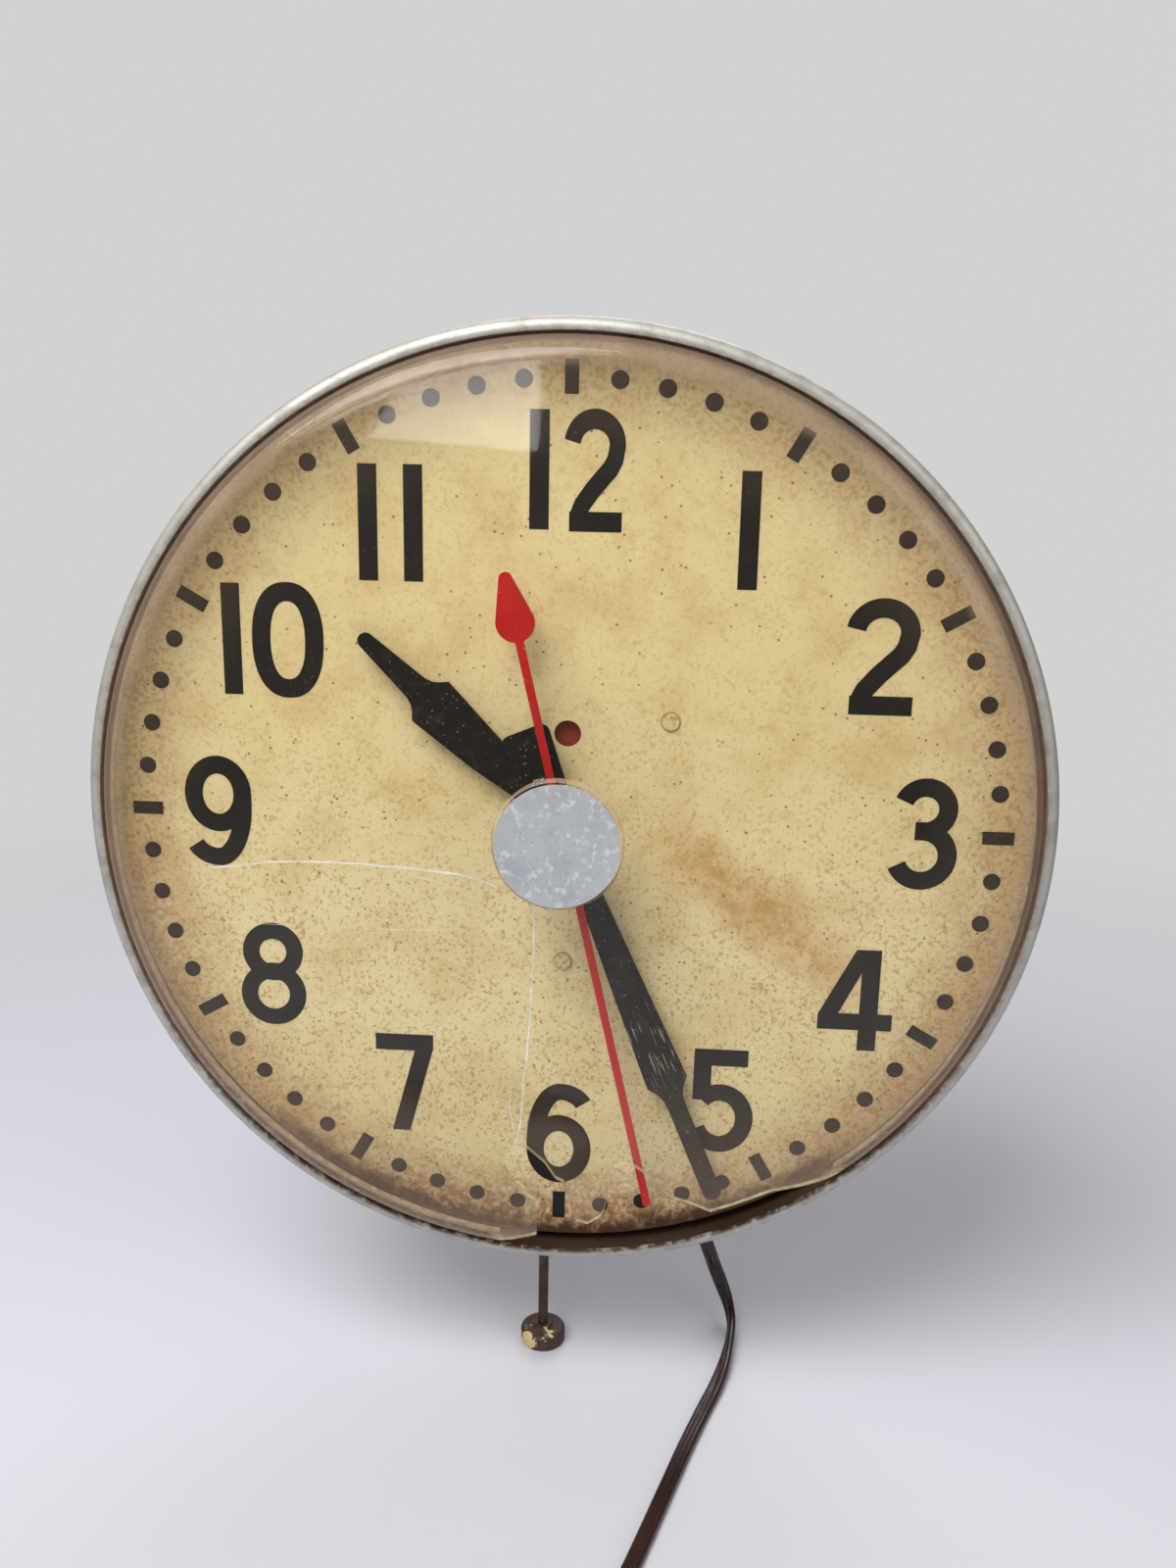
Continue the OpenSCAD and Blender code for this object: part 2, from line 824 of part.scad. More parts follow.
module at_stem() {
    translate([-stem_left, 0, stem_z])
        rotate([-90, 0, 0])
            children();
}

module set_pinion() {
    color("khaki") in_dial() at_stem()
        gear(set_pinion_teeth, set_module, set_pinion_y - set_pinion_len / 2,
            set_pinion_y + set_pinion_len / 2, stem_r, -90 + 180 / set_pinion_teeth);
}

module set_stem() {
    color("darkslategray") in_dial() at_stem()
        rod(knob_top_y - knob_h + 2, stem_top_y, stem_r);
}

module set_knob() {
    color("black") in_dial() at_stem() difference() {
        union() {
            rod(knob_top_y - knob_h + 1, knob_top_y - 1, knob_r);
            translate([0, 0, knob_top_y - 1])
                cylinder(h = 1, r1 = knob_r, r2 = knob_r - 1);
            translate([0, 0, knob_top_y - knob_h])
                cylinder(h = 1, r1 = knob_r - 1, r2 = knob_r);
            rod(knob_top_y - 1, knob_top_y + 1.5, stem_r + 1.6);
        }
        rod(knob_top_y - knob_h + 2, knob_top_y + 5, stem_r);
    }
}

module stem_bracket() {
    low = set_pinion_y - 14;
    color("silver") in_dial() difference() {
        union() {
            translate([-stem_left - 6, low, stem_z - 5])
                cube([12, 1.5, front_plate_z - stem_z + 5]);
            translate([-stem_left - 6, low, front_plate_z - 1.5])
                cube([12, 8, 1.5]);
        }
        at_stem()
            rod(low - eps, low + 2, stem_r + run_fit);
    }
}

module stem_bushing() {
    color("silver") in_dial() at_stem() difference() {
        union() {
            rod(case_bottom_y - 0.6, case_bottom_y + 5, bushing_r);
            rod(-case_r - 1.2, case_bottom_y - 0.4, bushing_r + 2);
        }
        rod(-case_r - 2, case_bottom_y + 6, stem_r + run_fit);
    }
}

// ---- Field ----

module field_core() {
    color("slategray") in_dial() difference() {
        translate([-core_half_w, core_low_y, stack_back_z])
            cube([2 * core_half_w, core_high_y - core_low_y, stack_h]);
        translate([0, rotor_y, 0])
            rod(stack_back_z - eps, stack_back_z + stack_h + eps, core_bore_r);
        translate([-core_window_half_w, window_low_y, stack_back_z - eps])
            cube([2 * core_window_half_w, window_high_y - window_low_y, stack_h + 2 * eps]);
        translate([-1.5, core_low_y - eps, stack_back_z - eps])
            cube([3, window_low_y - core_low_y + 2 * eps, stack_h + 2 * eps]);
        at_field_posts()
            rod(stack_back_z - eps, stack_back_z + stack_h + eps, screw_r);
    }
}

module at_field_posts() {
    for (side = [-1, 1])
        translate([side * (core_half_w - 5), core_high_y - 5, 0])
            children();
}

module field_posts() {
    color("gold") in_dial() at_field_posts()
        pipe(stack_back_z + stack_h, rear_plate_z, 3, screw_r);
}

module field_screws() {
    color("dimgray") in_dial() at_field_posts() {
        rod(stack_back_z, rear_plate_face, screw_r);
        rod(stack_back_z - 1.4, stack_back_z, 3);
    }
}

// A box round the core's upper leg, hollow for the leg
module leg_sleeve(half_w, wrap, inner) {
    difference() {
        translate([-half_w, window_high_y - wrap, stack_back_z - wrap])
            cube([2 * half_w, core_high_y - window_high_y + 2 * wrap, stack_h + 2 * wrap]);
        translate([-half_w - eps, window_high_y - inner, stack_back_z - inner])
            cube([2 * half_w + 2 * eps, core_high_y - window_high_y + 2 * inner,
                stack_h + 2 * inner]);
    }
}

module field_bobbin() {
    color("tan") in_dial() {
        leg_sleeve(coil_half_w, 0.8, 0);
        for (side = [-1, 1])
            translate([side * (coil_half_w + 0.5), 0, 0])
                leg_sleeve(0.5, coil_wrap + 0.5, 0);
    }
}

module field_coil() {
    color("saddlebrown") in_dial()
        leg_sleeve(coil_half_w, coil_wrap, 0.8);
}

// ---- Power interruption indicator ----

module indicator_flag() {
    color("darkred") in_dial() translate([flag_x, flag_pivot_y, 0]) difference() {
        union() {
            translate([0, window_up - flag_pivot_y, 0])
                rod(flag_z, flag_z + flag_wall, window_r + 1.6);
            translate([-2, window_up - flag_pivot_y, flag_z])
                cube([4, flag_pivot_y - window_up, flag_wall]);
            rod(flag_z - 1.5, flag_z + 1, 2.6);
        }
        rod(flag_z - 3, 0, 0.9 + run_fit);
    }
}

module flag_pin() {
    color("lightgray") in_dial() translate([flag_x, flag_pivot_y, 0]) {
        rod(front_plate_z, flag_z + 1.6, 0.9);
        rod(flag_z + 1.3, flag_z + 1.8, 1.8);
        rod(front_plate_face, flag_z - 1.8, 1.8);
    }
}

// ---- Wiring ----

lead_start = 162;
lead_in = polar(lead_start, cord_exit_deg);
splice_x = 50;
splice_y = -96;
splice_z = -41;
splice_len = 12;

module lead_wires() {
    coil_top_y = core_high_y + coil_wrap;
    color("black") in_dial() for (side = [-1, 1]) {
        swept([[lead_in[0] + side * 1.5, lead_in[1], cord_exit_z, 0],
            [52 + side * 2, -130, -40, 0],
            [splice_x + side * 4, splice_y - splice_len / 2, splice_z, 0]],
            4, 1.2, 1.2, 8, [0, 0, 1]);
        swept([[splice_x + side * 4, splice_y + splice_len / 2, splice_z, 0],
            [50 + side * 3, -50, -43, 0], [48 + side * 2, 0, -43.5, 0],
            [47 + side * 2, 40, -43.5, 0], [40 + side * 2, 62 + side * 2, -43.5, 0],
            [24, coil_top_y + 6 + side * 2, -43.5, 0],
            [11 - side * 3, coil_top_y + 5.5 + side * 1.5, -43.5, 0],
            [7 - side * 3, coil_top_y, -43.5, 0]], 3, 0.9, 0.9, 8, [0, 0, 1]);
    }
}

module wire_splices() {
    color("ivory") in_dial() for (side = [-1, 1])
        translate([splice_x + side * 4, splice_y, splice_z])
            rotate([90, 0, 0])
                rod(-splice_len / 2, splice_len / 2, 2.6);
}

// ---- Wall hanger ----

module hanger_plate() {
    color("silver") in_dial() difference() {
        translate([-16, hang_up - 12, hanger_face])
            cube([32, 34, hanger_wall]);
        keyhole(hanger_face, hanger_wall);
        at_hanger_rivets()
            rod(hanger_face - eps, hanger_face + hanger_wall + eps, rivet_r);
    }
}

module at_hanger_rivets() {
    for (x = [-12, 12])
        translate([x, hang_up + 5, 0])
            children();
}

module hanger_rivets() {
    color("lightgray") in_dial() at_hanger_rivets() {
        rod(back_z, hanger_face + hanger_wall, rivet_r);
        rod(back_z - 0.8, back_z, rivet_r + 1.2);
        rod(hanger_face + hanger_wall, hanger_face + hanger_wall + 0.8, rivet_r + 1.2);
    }
}

// ---- Cord ----

module strain_relief() {
    color("black") in_dial() at_cord_exit() difference() {
        union() {
            rod(case_in_r - 4, case_in_r - 0.2, relief_neck_r + 1.7);
            rod(case_in_r - 0.3, case_r + 0.1, relief_neck_r);
            rod(case_r, case_r + 2.4, relief_neck_r + 1.7);
            translate([0, 0, case_r + 2.4])
                cylinder(h = relief_len - 2.4, r1 = relief_neck_r + 0.7, r2 = cord_w / 2 + 0.6);
        }
        rod(lead_start - 1, case_in_r - 3, 3.2);
    }
}

module power_cord() {
    color("saddlebrown") in_dial()
        swept(cord_route, 2, cord_w / 2, cord_t / 2, 10, [1, 0, 0]);
}

module cord_coil() {
    coil_w = coil_turns_across * cord_w + 0.6;
    coil_h = coil_layers * cord_t + 0.4;
    color("saddlebrown") in_dial() translate([coil_x, floor_y, coil_z]) rotate([-90, 0, 0])
        rotate_extrude()
            translate([coil_mid_r - coil_w / 2, 0])
                square([coil_w, coil_h]);
}

module cord_tie() {
    coil_w = coil_turns_across * cord_w + 0.6;
    coil_h = coil_layers * cord_t + 0.4;
    color("gray") in_dial() translate([coil_x, floor_y, coil_z]) rotate([-90, 0, 0])
        rotate([0, 0, 40])
            translate([coil_mid_r, -2, 0])
                difference() {
                    translate([-coil_w / 2 - 1, 0, 0])
                        cube([coil_w + 2, 4, coil_h + 1]);
                    translate([-coil_w / 2 - tie_gap, -eps, -eps])
                        cube([coil_w + 2 * tie_gap, 4 + 2 * eps, coil_h + eps]);
                }
}

module cord_tail() {
    color("saddlebrown") in_dial()
        swept(tail_route, 2, cord_w / 2, cord_t / 2, 10, [0, 0, 1]);
}

module plug_body() {
    color("black") in_dial() at_plug() difference() {
        union() {
            translate([0, 0, -plug_neck])
                cylinder(h = plug_neck + 0.5, r1 = cord_w / 2 + 0.3, r2 = plug_h / 2 - 1);
            intersection() {
                translate([-plug_w / 2, -plug_h / 2, 0])
                    cube([plug_w, plug_h, plug_len]);
                cylinder(h = plug_len, r1 = plug_h / 2 + 1, r2 = plug_w - 4);
            }
        }
        blades();
    }
}

module at_plug() {
    translate([plug_x, plug_y, plug_z])
        rotate([0, -90, 0])
            children();
}

module blades() {
    for (side = [-1, 1])
        translate([side * blade_space / 2 - blade_t / 2, -blade_w / 2, plug_len - blade_root])
            cube([blade_t, blade_w, blade_len + blade_root]);
}

module plug_blades() {
    color("gold") in_dial() at_plug()
        blades();
}

case_pan();
front_band();
band_clip();
crystal_gasket();
crystal();
hub_disc();
dial_plate();
dial_screws();
dial_spacers();
case_posts();
case_screws();
hour_hand();
minute_hand();
second_hand();
front_plate();
rear_plate();
plate_pillars();
plate_screws();
second_arbor();
second_wheel();
rotor_can();
rotor_pinion();
field_core();
field_bobbin();
field_coil();
field_posts();
field_screws();
third_arbor();
third_wheel();
minute_wheel();
clutch_spring();
minute_tube();
motion_arbor();
motion_wheel();
hour_wheel();
set_crown();
set_pinion();
set_stem();
set_knob();
stem_bracket();
stem_bushing();
indicator_flag();
flag_pin();
lead_wires();
wire_splices();
hanger_plate();
hanger_rivets();
strain_relief();
power_cord();
cord_coil();
cord_tie();
cord_tail();
plug_body();
plug_blades();
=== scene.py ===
# %% [markdown]
# # A round electric wall clock
#
# The clock is a spun metal pan with a rolled rim, a domed clear crystal, a printed dial, three hands
# and a motor movement. Its parts already exist as a packed, working model, and this script dresses
# it: it keeps the parts whose shape is right, gives them worn finishes, and builds finer pieces
# where a plain part isn't enough. The imported model is loaded first, because every place comes from
# it. Its box is kept, and later sets the floor's height.

# %% Load the imported clock
import json
import math
import random

import bmesh
import bpy
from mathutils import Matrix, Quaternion, Vector
from mathutils.geometry import delaunay_2d_cdt


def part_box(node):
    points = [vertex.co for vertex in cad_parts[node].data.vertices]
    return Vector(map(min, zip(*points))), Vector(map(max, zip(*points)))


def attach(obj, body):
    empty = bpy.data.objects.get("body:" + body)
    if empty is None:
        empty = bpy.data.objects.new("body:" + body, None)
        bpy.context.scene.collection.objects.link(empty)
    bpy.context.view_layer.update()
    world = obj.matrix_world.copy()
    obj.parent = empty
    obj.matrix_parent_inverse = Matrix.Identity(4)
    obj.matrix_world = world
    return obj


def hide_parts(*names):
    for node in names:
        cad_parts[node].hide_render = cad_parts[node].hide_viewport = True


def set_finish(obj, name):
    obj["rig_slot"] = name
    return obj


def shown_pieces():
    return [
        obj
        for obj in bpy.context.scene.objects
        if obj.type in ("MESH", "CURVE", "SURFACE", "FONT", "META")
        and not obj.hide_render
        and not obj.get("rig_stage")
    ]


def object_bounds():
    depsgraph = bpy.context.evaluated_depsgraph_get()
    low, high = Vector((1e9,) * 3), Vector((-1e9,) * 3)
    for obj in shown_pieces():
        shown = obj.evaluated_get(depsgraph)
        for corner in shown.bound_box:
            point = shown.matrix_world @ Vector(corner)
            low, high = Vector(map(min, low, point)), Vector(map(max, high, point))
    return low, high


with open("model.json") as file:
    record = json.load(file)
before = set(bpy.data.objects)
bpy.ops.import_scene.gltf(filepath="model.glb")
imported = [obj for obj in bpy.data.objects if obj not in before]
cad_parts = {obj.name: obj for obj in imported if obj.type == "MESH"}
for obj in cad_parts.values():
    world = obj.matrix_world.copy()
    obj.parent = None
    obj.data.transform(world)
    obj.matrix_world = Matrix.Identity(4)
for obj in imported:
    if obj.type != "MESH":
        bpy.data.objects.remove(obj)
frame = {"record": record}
cad_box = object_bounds()

# %% [markdown]
# ## A ruler on the dial
#
# A clockmaker measures from the middle of the dial: so far right, so far up, so far out towards the
# glass. This cell makes that ruler, in millimetres. Its zero is worked out from the dial plate's own
# box, so a dial that moves takes everything with it. The alternative, writing metres in the model's
# axes, would hide which numbers belong together.

# %% Ruler
MM = 0.001
dial_low, dial_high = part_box("dial_plate")
AXIS_X = (dial_low.x + dial_high.x) / 2
AXIS_Z = (dial_low.z + dial_high.z) / 2
FACE_Y = dial_low.y
DIAL_R = (dial_high.x - dial_low.x) / 2 / MM


def place(x, y, z=0.0):
    """The point that lies x to the right, y up and z out from the dial's centre, in millimetres."""
    return Vector((AXIS_X + x * MM, FACE_Y - z * MM, AXIS_Z + y * MM))


print("dial radius", round(DIAL_R, 1), "mm")

# %% [markdown]
# ## The camera
#
# The camera comes before the shapes, since the cord has to leave its view and end out of sight.
# It stands a little right of the clock and above its centre, half a metre away, and looks slightly
# down. `to_track_quat` turns a direction into a rotation; a small roll about the lens is added after
# it, as when a hand holds the camera not quite level.

# %% Camera
LENS_MM = 29.08
SENSOR_MM = 36
EYE = (34.8, 118.9, 435.9)
LOOK_AT = (8.0, 14.5, 0)
ROLL_DEG = 1.18
camera_data = bpy.data.cameras.new("view_camera")
camera_data.lens = LENS_MM
camera_data.sensor_width = SENSOR_MM
camera_data.clip_start = 0.01
camera = bpy.data.objects.new("view_camera", camera_data)
camera.location = place(*EYE)
camera.rotation_mode = "QUATERNION"
look = place(*LOOK_AT) - camera.location
roll = Quaternion((0, 0, 1), math.radians(ROLL_DEG))
camera.rotation_quaternion = look.to_track_quat("-Z", "Y") @ roll
bpy.context.scene.collection.objects.link(camera)
bpy.context.scene.camera = camera
print("camera is", round(look.length, 3), "m from the dial")

# %% [markdown]
# ## From points to a piece
#
# Every piece here ends as a mesh: a list of points and a list of faces between them. One function
# turns those into an object, makes its faces look outwards and smooths it. A second ties it to the
# body that it moves with and to the finish that it belongs to. Edges sharper than a limit stay crisp.
# A third joins several lists of points, for a piece with more than one lump.

# %% Make a piece
def make_solid(name, points, faces, sharp=35):
    """A closed mesh from points on the dial's ruler, with its faces outwards."""
    mesh = bpy.data.meshes.new(name)
    mesh.from_pydata([place(*p) for p in points], [], faces)
    work = bmesh.new()
    work.from_mesh(mesh)
    bmesh.ops.recalc_face_normals(work, faces=work.faces)
    work.to_mesh(mesh)
    work.free()
    mesh.shade_smooth()
    mesh.set_sharp_from_angle(angle=math.radians(sharp))
    solid = bpy.data.objects.new(name, mesh)
    bpy.context.scene.collection.objects.link(solid)
    return solid


def make_piece(name, points, faces, slot, body="case", sharp=35):
    """A solid that has a finish and rides on a body."""
    piece = make_solid(name, points, faces, sharp)
    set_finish(piece, slot)
    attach(piece, body)
    return piece


def join(parts):
    """One list of points and one of faces from several (points, faces) pairs."""
    points, faces = [], []
    for part_points, part_faces in parts:
        start = len(points)
        points += part_points
        faces += [tuple(start + i for i in face) for face in part_faces]
    return points, faces


# %% [markdown]
# ## The mains cord's route
#
# A lamp cord is two insulated wires side by side in one flat jacket. This one leaves a rubber boot
# under the clock, drops to the surface that the clock stands on, and runs forwards out of view. A
# cord is never drawn freehand in space: its route is a list of points at the heights where a real
# cord rests, joined by a smooth curve. Each point has a fourth number, the roll of the flat side in
# degrees, because a flat cord twists where it turns a corner.

# %% Route
CORD_T = 3.0
CORD_ROUTE = [
    (57.4, -184.6, -38, 0), (59.1, -190, -38.8, 0), (61.1, -197, -41.5, 5),
    (62.6, -203, -45, 15), (64.3, -208.5, -46.8, 30), (66.9, -214.5, -45.5, 55),
    (69.6, -220, -41.5, 75), (71, -224, -35, 80), (70.4, -225.5, -27, 75),
    (68.8, -226, -18, 60), (66.6, -226.5, -8, 35), (62.9, -227.2, 4, 12),
    (58.3, -227.5, 16, 0), (51.1, -227.5, 36, 0), (44.5, -227.5, 56, 0),
    (37.9, -227.5, 76, 0), (31.5, -227.5, 95, 0), (25.5, -227.5, 112, 0),
    (20.5, -227.5, 128, 0), (16, -227.5, 146, 0),
]
TAIL_ROUTE = [
    (-18, -218.8, 185.5, 0), (-28, -219, 186, 0), (-38, -220.5, 186, 0), (-48, -222.2, 186, 0),
    (-56, -223, 186, 0), (-64, -223, 186, 0),
]
FLOOR_MM = -229.0
print("route points", len(CORD_ROUTE), "and", len(TAIL_ROUTE))

# %% [markdown]
# ## The spare cord, wound up
#
# The rest of the cord is wound into a flat coil, as one puts a lead away. A coil could be a spiral
# curve, but a hand-wound one lies in neat places: turns side by side, then more turns on top. So a
# loop walks round the circle and gives each whole turn its own radius and layer. Near the end of a
# turn it slides over to the next place with an S-shaped step, as the real cord does.

# %% Coil
COIL_X = -20.0
COIL_Z = 150.0
COIL_PLACES = [(36, 0), (30, 0), (30, 1), (36, 1), (36, 2), (30, 2), (30, 3), (36, 3)]
COIL_STEPS = 30
COIL_TURNS = 7.22
COIL_SHIFT = 0.12


def s_step(t):
    """0 before 0, 1 after 1, and a smooth S between."""
    t = min(max(t, 0.0), 1.0)
    return t * t * (3 - 2 * t)


def coil_point(turns):
    """The point that far round the coil, counted in turns."""
    turn = min(int(turns), len(COIL_PLACES) - 2)
    (r0, layer0), (r1, layer1) = COIL_PLACES[turn], COIL_PLACES[turn + 1]
    over = s_step((turns - turn - 1 + COIL_SHIFT) / COIL_SHIFT) if turns < turn + 1 else 1.0
    radius = r0 + (r1 - r0) * over
    layer = layer0 + (layer1 - layer0) * over
    angle = 2 * math.pi * turns
    return (COIL_X + radius * math.cos(angle), FLOOR_MM + CORD_T * (layer + 0.5),
            COIL_Z + radius * math.sin(angle))


coil = [coil_point(COIL_TURNS * k / round(COIL_TURNS * COIL_STEPS))
        for k in range(1, round(COIL_TURNS * COIL_STEPS) + 1)]
print("coil points", len(coil))

# %% [markdown]
# ## A flat cord swept along its route
#
# At each point of the route the cord's cross-section is drawn: two round lobes with a groove
# between them, which is how a two-wire cord really looks. Blender curves can bevel a profile, but
# they give little say over twist, so the rings are placed by hand. The direction along the route
# and the wide direction fix each ring; the wide one is made square to the route by taking away its
# part along the route.

# %% Sweep
def smooth_route(points, steps):
    """Points along a Catmull-Rom curve through the given ones."""
    found = []
    for k in range(len(points) - 1):
        a, b = Vector(points[max(k - 1, 0)]), Vector(points[k])
        c, d = Vector(points[k + 1]), Vector(points[min(k + 2, len(points) - 1)])
        for s in range(steps):
            t = s / steps
            found.append(0.5 * (2 * b + (c - a) * t + (2 * a - 5 * b + 4 * c - d) * t * t
                                + (3 * b - a - 3 * c + d) * t * t * t))
    return found + [Vector(points[-1])]


def sweep(rings, section):
    """Points and faces of a tube; rings are (centre, wide direction, thin direction)."""
    points = [tuple(centre + wide * u + thin * v) for centre, wide, thin in rings for u, v in section]
    size = len(section)
    faces = [(k * size + i, k * size + (i + 1) % size, (k + 1) * size + (i + 1) % size,
              (k + 1) * size + i) for k in range(len(rings) - 1) for i in range(size)]
    faces.append(tuple(range(size)))
    faces.append(tuple((len(rings) - 1) * size + i for i in reversed(range(size))))
    return points, faces


def lobed_section():
    """Two round lobes with a groove between them, as (across, through) pairs."""
    r = CORD_T / 2
    lobe = [(r + r * math.cos(math.radians(a)), r * math.sin(math.radians(a)))
            for a in range(-125, 126, 25)]
    other = [(-u, -v) for u, v in lobe]
    return lobe + [(0, 0.62 * r)] + other + [(0, -0.62 * r)]


# %% [markdown]
# The wide side of the cord points to the right where it runs forwards, and across the route on the
# coil. The whole cord is one mesh from the boot to the plug, and its real length is measured and
# printed, since a cord of the wrong length is the first thing that looks wrong.

# %% Cord
lead = smooth_route([(56.2, -180.8, -38, 0)] + CORD_ROUTE, 4)
tail = smooth_route(TAIL_ROUTE, 4)
cord_places = [(p.xyz, p.w, "lead") for p in lead] + [(Vector(p), 0, "coil") for p in coil]
cord_places += [(p.xyz, 0, "coil") for p in tail]


def cord_ring(k):
    """One ring of the cord, with its wide side turned as the route says."""
    here, roll, part = cord_places[k]
    before = cord_places[max(k - 1, 0)][0]
    after = cord_places[min(k + 1, len(cord_places) - 1)][0]
    along = (after - before).normalized()
    level = Vector((1, 0, 0)) if part == "lead" else Vector((along.z, 0, -along.x))
    turn = math.radians(roll)
    aim = level * math.cos(turn) + Vector((0, 1, 0)) * math.sin(turn)
    wide = (aim - along * along.dot(aim)).normalized()
    return here, wide, along.cross(wide)


cord_rings = [cord_ring(k) for k in range(len(cord_places))]
cord = make_piece("mains_cord", *sweep(cord_rings, lobed_section()), "cord_rubber", sharp=60)
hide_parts("power_cord", "cord_coil", "cord_tail")
cord_path = [place(*here) for here, _, _ in cord_places]
cord_length = sum((b - a).length for a, b in zip(cord_path, cord_path[1:]))
print("cord length", round(cord_length, 3), "m in", len(cord_rings), "rings")

# %% [markdown]
# ## Turning on the lathe
#
# Rims, knobs, boots and lenses are round about an axis, so one function makes them all: it takes
# the half outline as (radius, height) pairs and turns it round. A point on the axis becomes a single
# vertex, so that no stray faces are left there. The spin can lie along any axis, which is given as
# an origin and three directions.

# %% Lathe
DIAL_AXES = (Vector((0, 0, 0)), Vector((1, 0, 0)), Vector((0, 1, 0)), Vector((0, 0, 1)))


def lathe(outline, steps=96, axes=DIAL_AXES, closed=True):
    """Points and faces of an outline of (radius, height) turned about an axis."""
    origin, across, up, along = axes
    points, rows = [], []
    for radius, height in outline:
        if radius < 1e-6:
            rows.append([len(points)] * steps)
            points.append(tuple(origin + along * height))
            continue
        rows.append(list(range(len(points), len(points) + steps)))
        for k in range(steps):
            a = 2 * math.pi * k / steps
            points.append(tuple(origin + along * height
                                + (across * math.cos(a) + up * math.sin(a)) * radius))
    faces = []
    pairs = list(zip(rows, rows[1:])) + ([(rows[-1], rows[0])] if closed else [])
    for low, high in pairs:
        for k in range(steps):
            after = (k + 1) % steps
            corners = [low[k], low[after], high[after], high[k]]
            face = [c for i, c in enumerate(corners) if c not in corners[:i]]
            if len(face) > 2:
                faces.append(tuple(face))
    return points, faces


def arc(centre, radii, start, end, power=2.0, step=8):
    """Points round an ellipse between two angles in degrees; a power above 2 squares it off."""
    count = max(3, round(abs(end - start) / step))
    found = []
    for k in range(count + 1):
        t = math.radians(start + (end - start) * k / count)
        c, s = math.cos(t), math.sin(t)
        found.append((centre[0] + radii[0] * math.copysign(abs(c) ** (2 / power), c),
                      centre[1] + radii[1] * math.copysign(abs(s) ** (2 / power), s)))
    return found


# %% [markdown]
# ## The boot
#
# The boot keeps the cord from being bent sharply where it leaves the metal: it is a tapered rubber
# cone with grooves that let it flex, and a neck that holds it in its hole. It is round, so the lathe
# makes it, about an axis that points out of the case. A loop writes the grooves, each a little
# narrower than the last; cutting them one by one with Booleans would be slower and rougher.

# %% Strain relief boot
EXIT_DEG = -72.7
EXIT_Z = -38.0
CASE_R = 169.5
exit_way = Vector((math.cos(math.radians(EXIT_DEG)), math.sin(math.radians(EXIT_DEG)), 0))
exit_axes = (Vector((0, 0, EXIT_Z)), Vector((0, 0, 1)), exit_way.cross(Vector((0, 0, 1))), exit_way)
CASE_WALL = 1.4
BOOT_LEN = 24.0
BOOT_IN = 5
BOOT_FLANGE_R = 6.6
BOOT_FLANGE_T = 2.4
BOOT_NECK_R = 4.85
BOOT_RIBS = 6
boot_outline = [
    (0, CASE_R - BOOT_IN), (BOOT_FLANGE_R, CASE_R - BOOT_IN), (BOOT_FLANGE_R, CASE_R - CASE_WALL),
    (BOOT_NECK_R, CASE_R - CASE_WALL), (BOOT_NECK_R, CASE_R), (6.2, CASE_R),
    (BOOT_FLANGE_R, CASE_R + 0.5), (BOOT_FLANGE_R, CASE_R + 1.9), (6.2, CASE_R + BOOT_FLANGE_T),
]
for rib in range(BOOT_RIBS):
    start = CASE_R + BOOT_FLANGE_T + (BOOT_LEN - 5.4) * rib / BOOT_RIBS
    radius = 5.5 - 1.6 * rib / BOOT_RIBS
    boot_outline += [(radius, start + 0.2), (radius - 0.1, start + 1.9), (radius - 0.8, start + 2.2),
                     (radius - 0.85, start + 2.9)]
boot_outline += [(3.7, CASE_R + BOOT_LEN - 2.6), (3.5, CASE_R + BOOT_LEN - 0.5),
                 (3.2, CASE_R + BOOT_LEN), (0, CASE_R + BOOT_LEN)]
boot = make_piece("cord_boot", *lathe(boot_outline, 48, exit_axes, False), "cord_rubber", sharp=50)
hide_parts("strain_relief")
print("boot", len(boot.data.vertices), "points")

# %% [markdown]
# ## Flat shapes with holes
#
# Blades, hands and printed figures are flat: an outline, perhaps with holes, and a thickness. Blender
# can fill a curve, but the fill is hard to steer where shapes overlap. Here a Delaunay routine cuts
# the plane into triangles along every outline and tells which outlines each triangle lies in, so
# those inside a shape and outside its holes are kept. An edge that only one triangle uses is on the
# border, and gets a side wall.

# %% Flat shapes with holes
def ccw(outline):
    """The outline, turned so that it runs anticlockwise."""
    area = sum(a[0] * b[1] - b[0] * a[1] for a, b in zip(outline, outline[1:] + outline[:1]))
    return outline if area > 0 else outline[::-1]


def flat_shape(shapes):
    """Points and triangles that cover shapes, each an outline with its own holes."""
    points, loops, meaning = [], [], []
    for number, (outline, holes) in enumerate(shapes):
        for is_hole, loop in [(False, outline)] + [(True, h) for h in holes]:
            loops.append(list(range(len(points), len(points) + len(loop))))
            points += [Vector(p) for p in ccw(list(loop))]
            meaning.append((number, is_hole))
    found, _, faces, _, _, sources = delaunay_2d_cdt(points, [], loops, 1, 1e-4)
    kept = []
    for face, source in zip(faces, sources):
        inside = {meaning[s][0] for s in source if not meaning[s][1]}
        cut = {meaning[s][0] for s in source if meaning[s][1]}
        if inside - cut:
            kept.append(tuple(face))
    return [tuple(p) for p in found], kept


